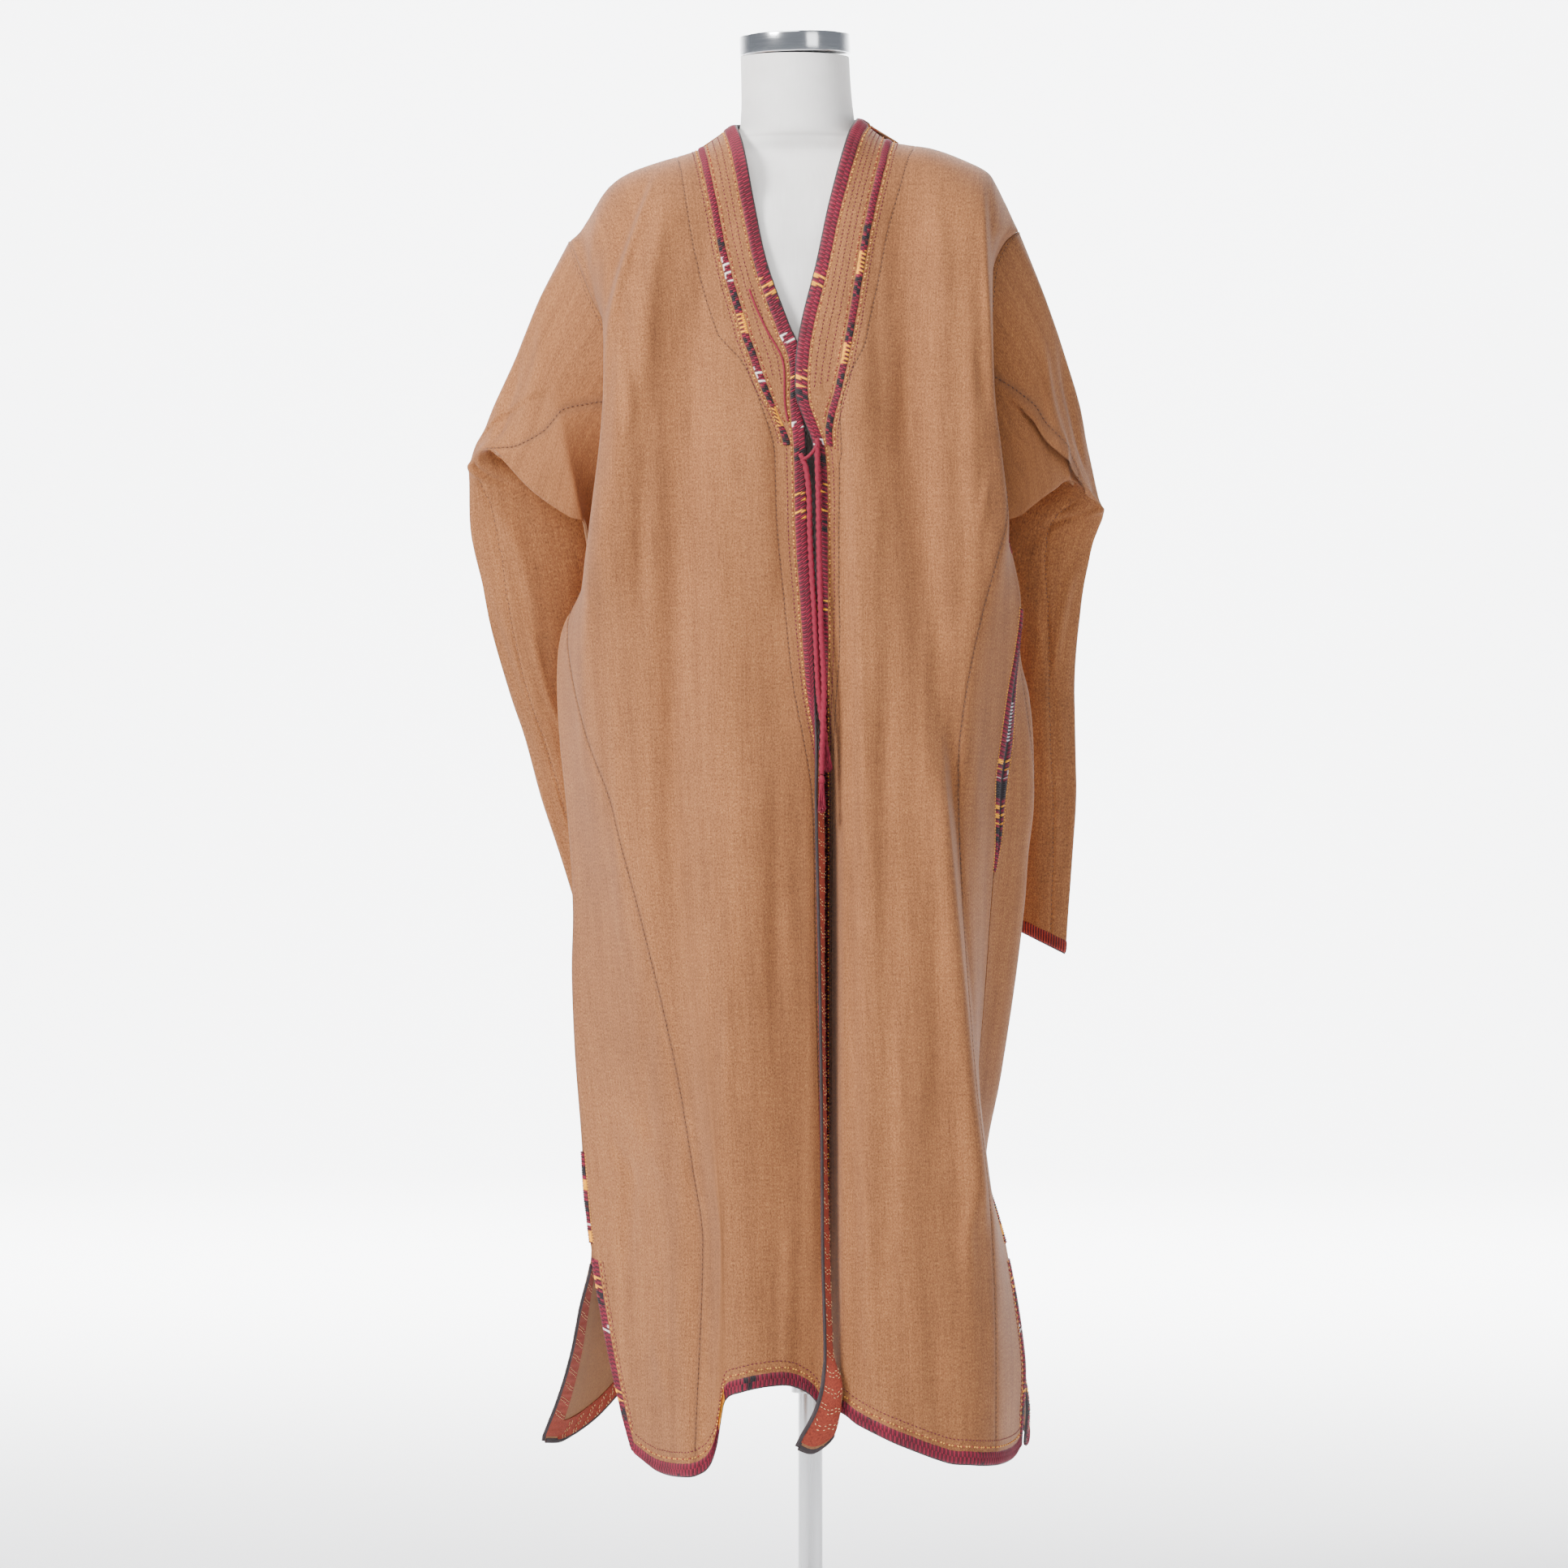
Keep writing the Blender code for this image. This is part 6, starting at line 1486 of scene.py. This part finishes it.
w = COLLAR_W[0] + (COLLAR_W[1] - COLLAR_W[0]) * np.arange(ROWS + 1) / ROWS
h = 0.985 * (1 - np.linspace(0, 1, COLUMNS + 1))
net = np.stack([collar_point(w, np.full_like(w, high)) for high in h], axis=1)
collar_net = as_cloth(net, 1, 0.0, upright=False)
along = collar_net["along"]
zero = np.zeros(ROWS + 1)
made, area, wide, tall = panel("collar_cloth", collar_net, zero, along[:, -1], np.linspace(0, 1, 120), 14, wool,
                               grooves=[(along[:, -1], 0.3, 1.2)])
dress(made, "collar")
t, d = steps_down(collar_net, zero, 0.0, 1.0, RIB / 4)
made = braid("collar_edging", collar_net, t, d, EDGE_PROFILE, (), beside)
dress(made, "collar_braid")
deep = float(along[:, -1].min()) * 0.6
t = np.linspace(0, 1, 120)[:, None]
d = np.linspace(0.6, deep, 7)[None, :]
points, out = on_cloth(collar_net, t, d)
uv = np.stack([np.broadcast_to(d, out.shape[:2]), -np.broadcast_to(t * 200, out.shape[:2])], axis=2)
inner = points - out * (WALL + 0.5)
made = shell("collar_facing_strip", inner, -out, uv, np.zeros(out.shape[:2]), facing_cloth, wall=0.7)
dress(made, "collar_facing")
rows = [down_row(collar_net, np.full(ROWS + 1, away), 0.01, 0.99, kind)
        for away, kind in ((GOLD_IN, MIXED_STITCH), (16.5, THIN_STITCH)) if away < along[:, -1].min() - 2]
dress(sewn("collar_stitching", rows))


# Side seam work. The left pocket slit is a long lens of ribbed crimson binding over the side seam, with painted
# black shade down its closed middle, and a short lozenge of the same stitches closes the seam over each slit.
SEAM_WORK = {
    "left_pocket_binding": ("left", ((1003, 2.0), (960, 6.0), (925, 9.0), (880, 11.0), (840, 10.5), (790, 6.0),
                                     (756, 2.0)),
                            ((862, 851, "prongs"), (850, 843, "loops"), (840, 824, "black"), (818, 800, "prongs"),
                             (799, 784, "checks")), (985.0, 775.0)),
    "right_side_embroidery": ("right", ((492, 3.0), (450, 4.5), (406, 4.5)),
                              ((478, 470, "black"), (466, 456, "bars"), (446, 436, "checks"), (430, 422, "loops"),
                               (418, 408, "bars")), None),
    "left_side_embroidery": ("left", ((524, 3.0), (460, 4.0), (406, 4.5)),
                             ((500, 490, "black"), (480, 468, "bars"), (450, 440, "checks"), (425, 415, "bars")),
                             None),
}
SLIT_BARS = (916, 878)  # where grey bars of thread hold the pocket slit together
GREY_BARS = (0.50, 0.50, 0.52)


def seam_place(side, high, across_by):
    """Points over a side seam: negative distances lie on the front's cloth and positive ones on the back's."""
    front = fronts[side]
    t_front = share_at(front, high, -1)
    t_back = share_at(back, high, -1 if side == "left" else 0)
    front_width = down_cloth(t_front, front["along"][:, -1])
    back_edge = down_cloth(t_back, back["along"][:, -1]) if side == "left" else 0 * high
    turn = -1 if side == "left" else 1
    ahead, ahead_out = on_cloth(front, t_front, front_width - np.maximum(-across_by, 0.02))
    behind, behind_out = on_cloth(back, t_back, back_edge + turn * np.maximum(across_by, 0.02))
    share = ease((across_by + 1.6) / 3.2)[..., None]
    point = np.where((across_by < 0)[..., None], ahead, behind)
    return point, unit(ahead_out * (1 - share) + behind_out * share)


for node, (side, halves, bands, slit) in SEAM_WORK.items():
    high = np.arange(halves[0][0], halves[-1][0], -RIB / 4)
    half = np.interp(-high, [-row[0] for row in halves], [row[1] for row in halves])
    s = np.linspace(-1, 1, 13)
    size = (len(high), len(s))
    points, out = seam_place(side, np.broadcast_to(high[:, None], size), half[:, None] * s[None, :])
    dome = 0.15 + 1.75 * np.sqrt(np.maximum(1 - s ** 2, 0))[None, :] * ribs(len(high), 0.55)[:, None]
    colours = np.ones((*size, 4))
    for i, place in enumerate(high):
        for c, spot in enumerate(s):
            colours[i, c, :3] = band_colour(bands, place, i // 4, (spot + 1) / 2)
    if slit:
        # The slit is not cut: its middle is laid low and painted black as the shade of the opening.
        shaded_slit = (high < slit[0]) & (high > slit[1])
        middle = np.abs(s) < 0.2
        dome[np.ix_(shaded_slit, middle)] = 0.25
        colours[np.ix_(shaded_slit, middle)] = (*BLACK, 1)
        held = shaded_slit & (high < SLIT_BARS[0]) & (high > SLIT_BARS[1]) & ((np.arange(len(high)) // 3) % 2 == 0)
        colours[np.ix_(held, middle)] = (*GREY_BARS, 1)
        dome[np.ix_(held, middle)] = 1.2
    top = points + out * dome[:, :, None]
    made = shell(node.replace("_binding", "_stitches") if slit else f"{node}_stitches", top, out,
                 np.zeros((*size, 2)), np.zeros(size), thread, wall=0.9)
    laid = np.concatenate([colours.reshape(-1, 4)] * 2)
    made.data.color_attributes["thread"].data.foreach_set("color", laid.astype(np.float32).ravel())
    dress(made, node)
    rows = []
    for turn in (-1, 1):
        spots = high[::5]
        beside_work, beside_out = seam_place(side, spots, turn * (half[::5] + 1.6))
        way = unit(np.gradient(beside_work, axis=0))
        flank = unit(np.cross(beside_out, way))
        corners = [beside_work - way * 1.0, beside_work + way * 1.0, beside_work - flank * 0.7,
                   beside_work + flank * 0.7, beside_work + beside_out * 0.9]
        body = np.stack(corners, axis=1).reshape(-1, 3)
        pattern = np.array([(0, 2, 4), (2, 1, 4), (0, 4, 3), (3, 4, 1), (0, 1, 2), (0, 3, 1)])
        faces = (np.arange(len(spots))[:, None, None] * 5 + pattern[None]).reshape(-1, 3)
        rows.append((body, faces, np.tile([*GOLD, 1.0], (len(body), 1))))
    dress(sewn(f"{node}_border", rows))


# Cuff bindings. Each sleeve ends in a ring of ribbed work over its raw edge, brick-red and crimson by turns, sewn
# through the cloth with the same silky wool thread.
CUFF_BANDS = ((0.10, 0.14, "dots"), (0.55, 0.60, "bars"))
CUFF_RIBS = 90
BRICK_RED = (0.42, 0.045, 0.022)
for side in ("right", "left"):
    end = len(SLEEVE[side]) - 1.0
    turns = np.linspace(0, 1, 4 * CUFF_RIBS + 1)[:-1]
    ring_at = {}
    for key, section in (("last", end), ("above", end - 0.25)):
        ring_at[key] = sleeve_net(side, np.array([section]), turns)[0]
    fall = unit(ring_at["last"] - ring_at["above"])
    reach = np.linalg.norm(ring_at["last"] - ring_at["above"], axis=1)
    way = np.roll(ring_at["last"], -1, axis=0) - np.roll(ring_at["last"], 1, axis=0)
    out = unit(np.cross(way, fall))
    middle = ring_at["last"].mean(axis=0)
    if ((ring_at["last"] - middle) * out).sum() < 0:
        out = -out
    columns = len(EDGE_PROFILE)
    points = np.empty((len(turns), columns, 3))
    colours = np.ones((len(turns), columns, 4))
    rib = np.arange(len(turns)) // 4
    swell = ribs(len(turns))
    for c, (away, lift, piping) in enumerate(EDGE_PROFILE):
        share = (max(away, 0) / reach)[:, None]
        base = ring_at["above"] * share + ring_at["last"] * (1 - share) if away >= 0 else \
            ring_at["last"] - fall * away
        points[:, c] = base + out * ((lift + 0.2) * swell if lift > RIBBED else np.full(len(turns), lift))[:, None]
        for i in range(len(turns)):
            tone = band_colour(CUFF_BANDS, i / len(turns), int(rib[i]), c / columns)
            if tone in (CRIMSON, DEEP_CRIMSON) and rib[i] % 2:
                tone = BRICK_RED
            colours[i, c, :3] = PIPING if piping else tone
    n = len(turns)
    ring_faces = []
    for i in range(n):
        row, below = i * columns, (i + 1) % n * columns
        ring_faces += [(row + c, row + (c + 1) % columns, below + (c + 1) % columns, below + c)
                       for c in range(columns)]
    sample = np.cross(points[0, 4] - points[0, 3], points[1, 3] - points[0, 3]) @ out[0]
    if sample < 0:
        ring_faces = [face[::-1] for face in ring_faces]
    made = mesh_piece(f"{side}_cuff_edging", points.reshape(-1, 3), ring_faces, thread,
                      thread=colours.reshape(-1, 4), sharp=75)
    dress(made, f"{side}_cuff_binding")


# Seam stitches. The lengths are joined by hand with brown wool in short backstitches, which show as broken dark
# lines along the gores, plackets, armholes and gussets. A few loose ends and one long red thread are left on.
SEAM_THREAD = (0.085, 0.036, 0.018)
SEAM_STITCH = {"pitch": 4.6, "length": 3.4, "width": 1.0, "height": 0.35, "colours": (SEAM_THREAD,)}


def line_row(line, lift):
    """Seam stitches along a line of points with the cloth's outward directions there."""
    run = run_of(line)
    marks = np.arange(0, run[-1], SEAM_STITCH["pitch"])
    places, outs = (np.stack([np.interp(marks, run, values[:, k]) for k in range(3)], 1) for values in (line, lift))
    return stitches_on(places, unit(outs), SEAM_STITCH)


rows = []
for side in ("right", "left"):
    cloth = fronts[side]
    start = float(np.argmax(cloth["along"][:, -1] - front_seam[side] > 3)) / ROWS
    rows.append(down_row(cloth, front_seam[side], start, 0.985, SEAM_STITCH))
    rows.append(down_row(cloth, placket[side], 0.02, 0.985, SEAM_STITCH))
for seam in (right_gore, left_gore):
    rows.append(down_row(back, seam, 0.35, 0.985, SEAM_STITCH))
for side in ("right", "left"):
    sleeve = sleeves[side]
    upper = sleeve["t"] <= GUSSET_ROW + 1e-9
    for column in (QUARTER, 3 * QUARTER):
        rows.append(line_row(sleeve["net"][upper, column], sleeve["out"][upper, column]))
    spots = np.linspace(7.2, sleeve["t"][-1] - 0.2, 400)
    row = np.interp(spots, sleeve["t"], np.arange(len(sleeve["t"]))).round().astype(int)
    column = (rows_at(FOREARM_SEAM[side], spots) * ROUND).round().astype(int)
    rows.append(line_row(sleeve["net"][row, column], sleeve["out"][row, column]))
    rows.append(line_row(sleeve["net"][3], sleeve["out"][3]))
dress(sewn("seam_stitches", rows))
cloth = fronts["right"]
t = np.linspace(share_at(cloth, 1307, 0), share_at(cloth, 1182, 0), 60)
points, out = on_cloth(cloth, t, np.linspace(23, 13, 60) + 1.2 * np.sin(np.linspace(0, 9, 60)))
ends = [tube(points + out * 0.9, 0.95, 6)]
cloth = fronts["left"]
for high, inward, slant in ((1063, 0.94, 5), (1060, 0.91, 4), (1057, 0.96, 6), (1059, 0.88, -4)):
    t = share_at(cloth, high, -1) + np.linspace(0, 0.004, 6)
    width = down_cloth(t, cloth["along"][:, -1])
    points, out = on_cloth(cloth, t, width * inward + np.linspace(0, slant, 6))
    ends.append(tube(points + out * 0.5, 0.4, 5))
right_start, left_start = TIES["right"]["path"][6], TIES["left"]["path"][6]
bridge = np.stack([left_start + (right_start - left_start) * k + np.array([0, -1.5, -2.5 * math.sin(math.pi * k)])
                   for k in np.linspace(0, 1, 14)])
ends.append(tube(bridge, 1.6, 8))
dress(mesh_piece("loose_threads", *joined(ends), crimson_yarn))


# Studio. A seamless pale paper sweep on the floor and up behind, with broad soft light from the left and above, a
# weaker fill from the right, and two lamps aimed at the paper.
sweep = bpy.data.meshes.new("sweep")
profile = [(-30.0, 0.0), (9.0, 0.0)] + [(9.0 + 2.0 * math.sin(a), 2.0 - 2.0 * math.cos(a))
                                       for a in np.linspace(0.12, math.pi / 2, 14)] + [(11.0, 9.0)]
corners = [(x, y, z) for y, z in profile for x in (-30.0, 30.0)]
sweep.from_pydata(corners, [], [(2 * k, 2 * k + 1, 2 * k + 3, 2 * k + 2) for k in range(len(profile) - 1)])
paper, paper_add = new_material("studio_paper", 0.9)
grain = paper_add("TexNoise", {"Scale": 40.0}, Vector=paper_add("TexCoord").outputs["Object"])
paper_shade = paper_add("MixRGB", {"Color1": (0.88, 0.885, 0.895, 1), "Color2": (0.90, 0.905, 0.915, 1)},
                        Fac=grain.outputs["Fac"])
sweep.materials.append(surfaced(paper, paper_add, paper_shade.outputs[0]))
sweep.shade_smooth()
backdrop = bpy.data.objects.new("sweep", sweep)
bpy.context.scene.collection.objects.link(backdrop)

world = bpy.data.worlds.new("studio")
world.use_nodes = True
world.node_tree.nodes["Background"].inputs["Color"].default_value = (0.82, 0.87, 0.96, 1)
world.node_tree.nodes["Background"].inputs["Strength"].default_value = 0.34
bpy.context.scene.world = world
LIGHTS = {
    "key_light": ((-2.6, -2.5, 3.2), (1.1, 1.1), 270, (0, 0, 1.1)),
    "fill_light": ((3.0, -4.0, 2.2), (2.0, 2.0), 44, (0, 0, 1.1)),
    "top_light": ((-0.5, -1.5, 3.6), (1.6, 1.2), 75, (0, 0, 1.1)),
    "floor_light": ((0.0, 5.6, 5.0), (9.0, 3.0), 1500, (0, 5.8, 0.0)),
    "backdrop_light": ((0.0, 4.0, 6.0), (9.0, 2.0), 3400, (0, 10.8, 2.0)),
}
for name, (place, size, power, target) in LIGHTS.items():
    lamp = bpy.data.lights.new(name, "AREA")
    lamp.shape = "RECTANGLE"
    lamp.size, lamp.size_y = size
    lamp.energy = power
    lit = bpy.data.objects.new(name, lamp)
    lit.location = place
    aim = np.array(target) - np.array(place)
    lit.rotation_euler = (math.acos(-aim[2] / np.linalg.norm(aim)), 0, math.atan2(-aim[0], aim[1]))
    bpy.context.scene.collection.objects.link(lit)
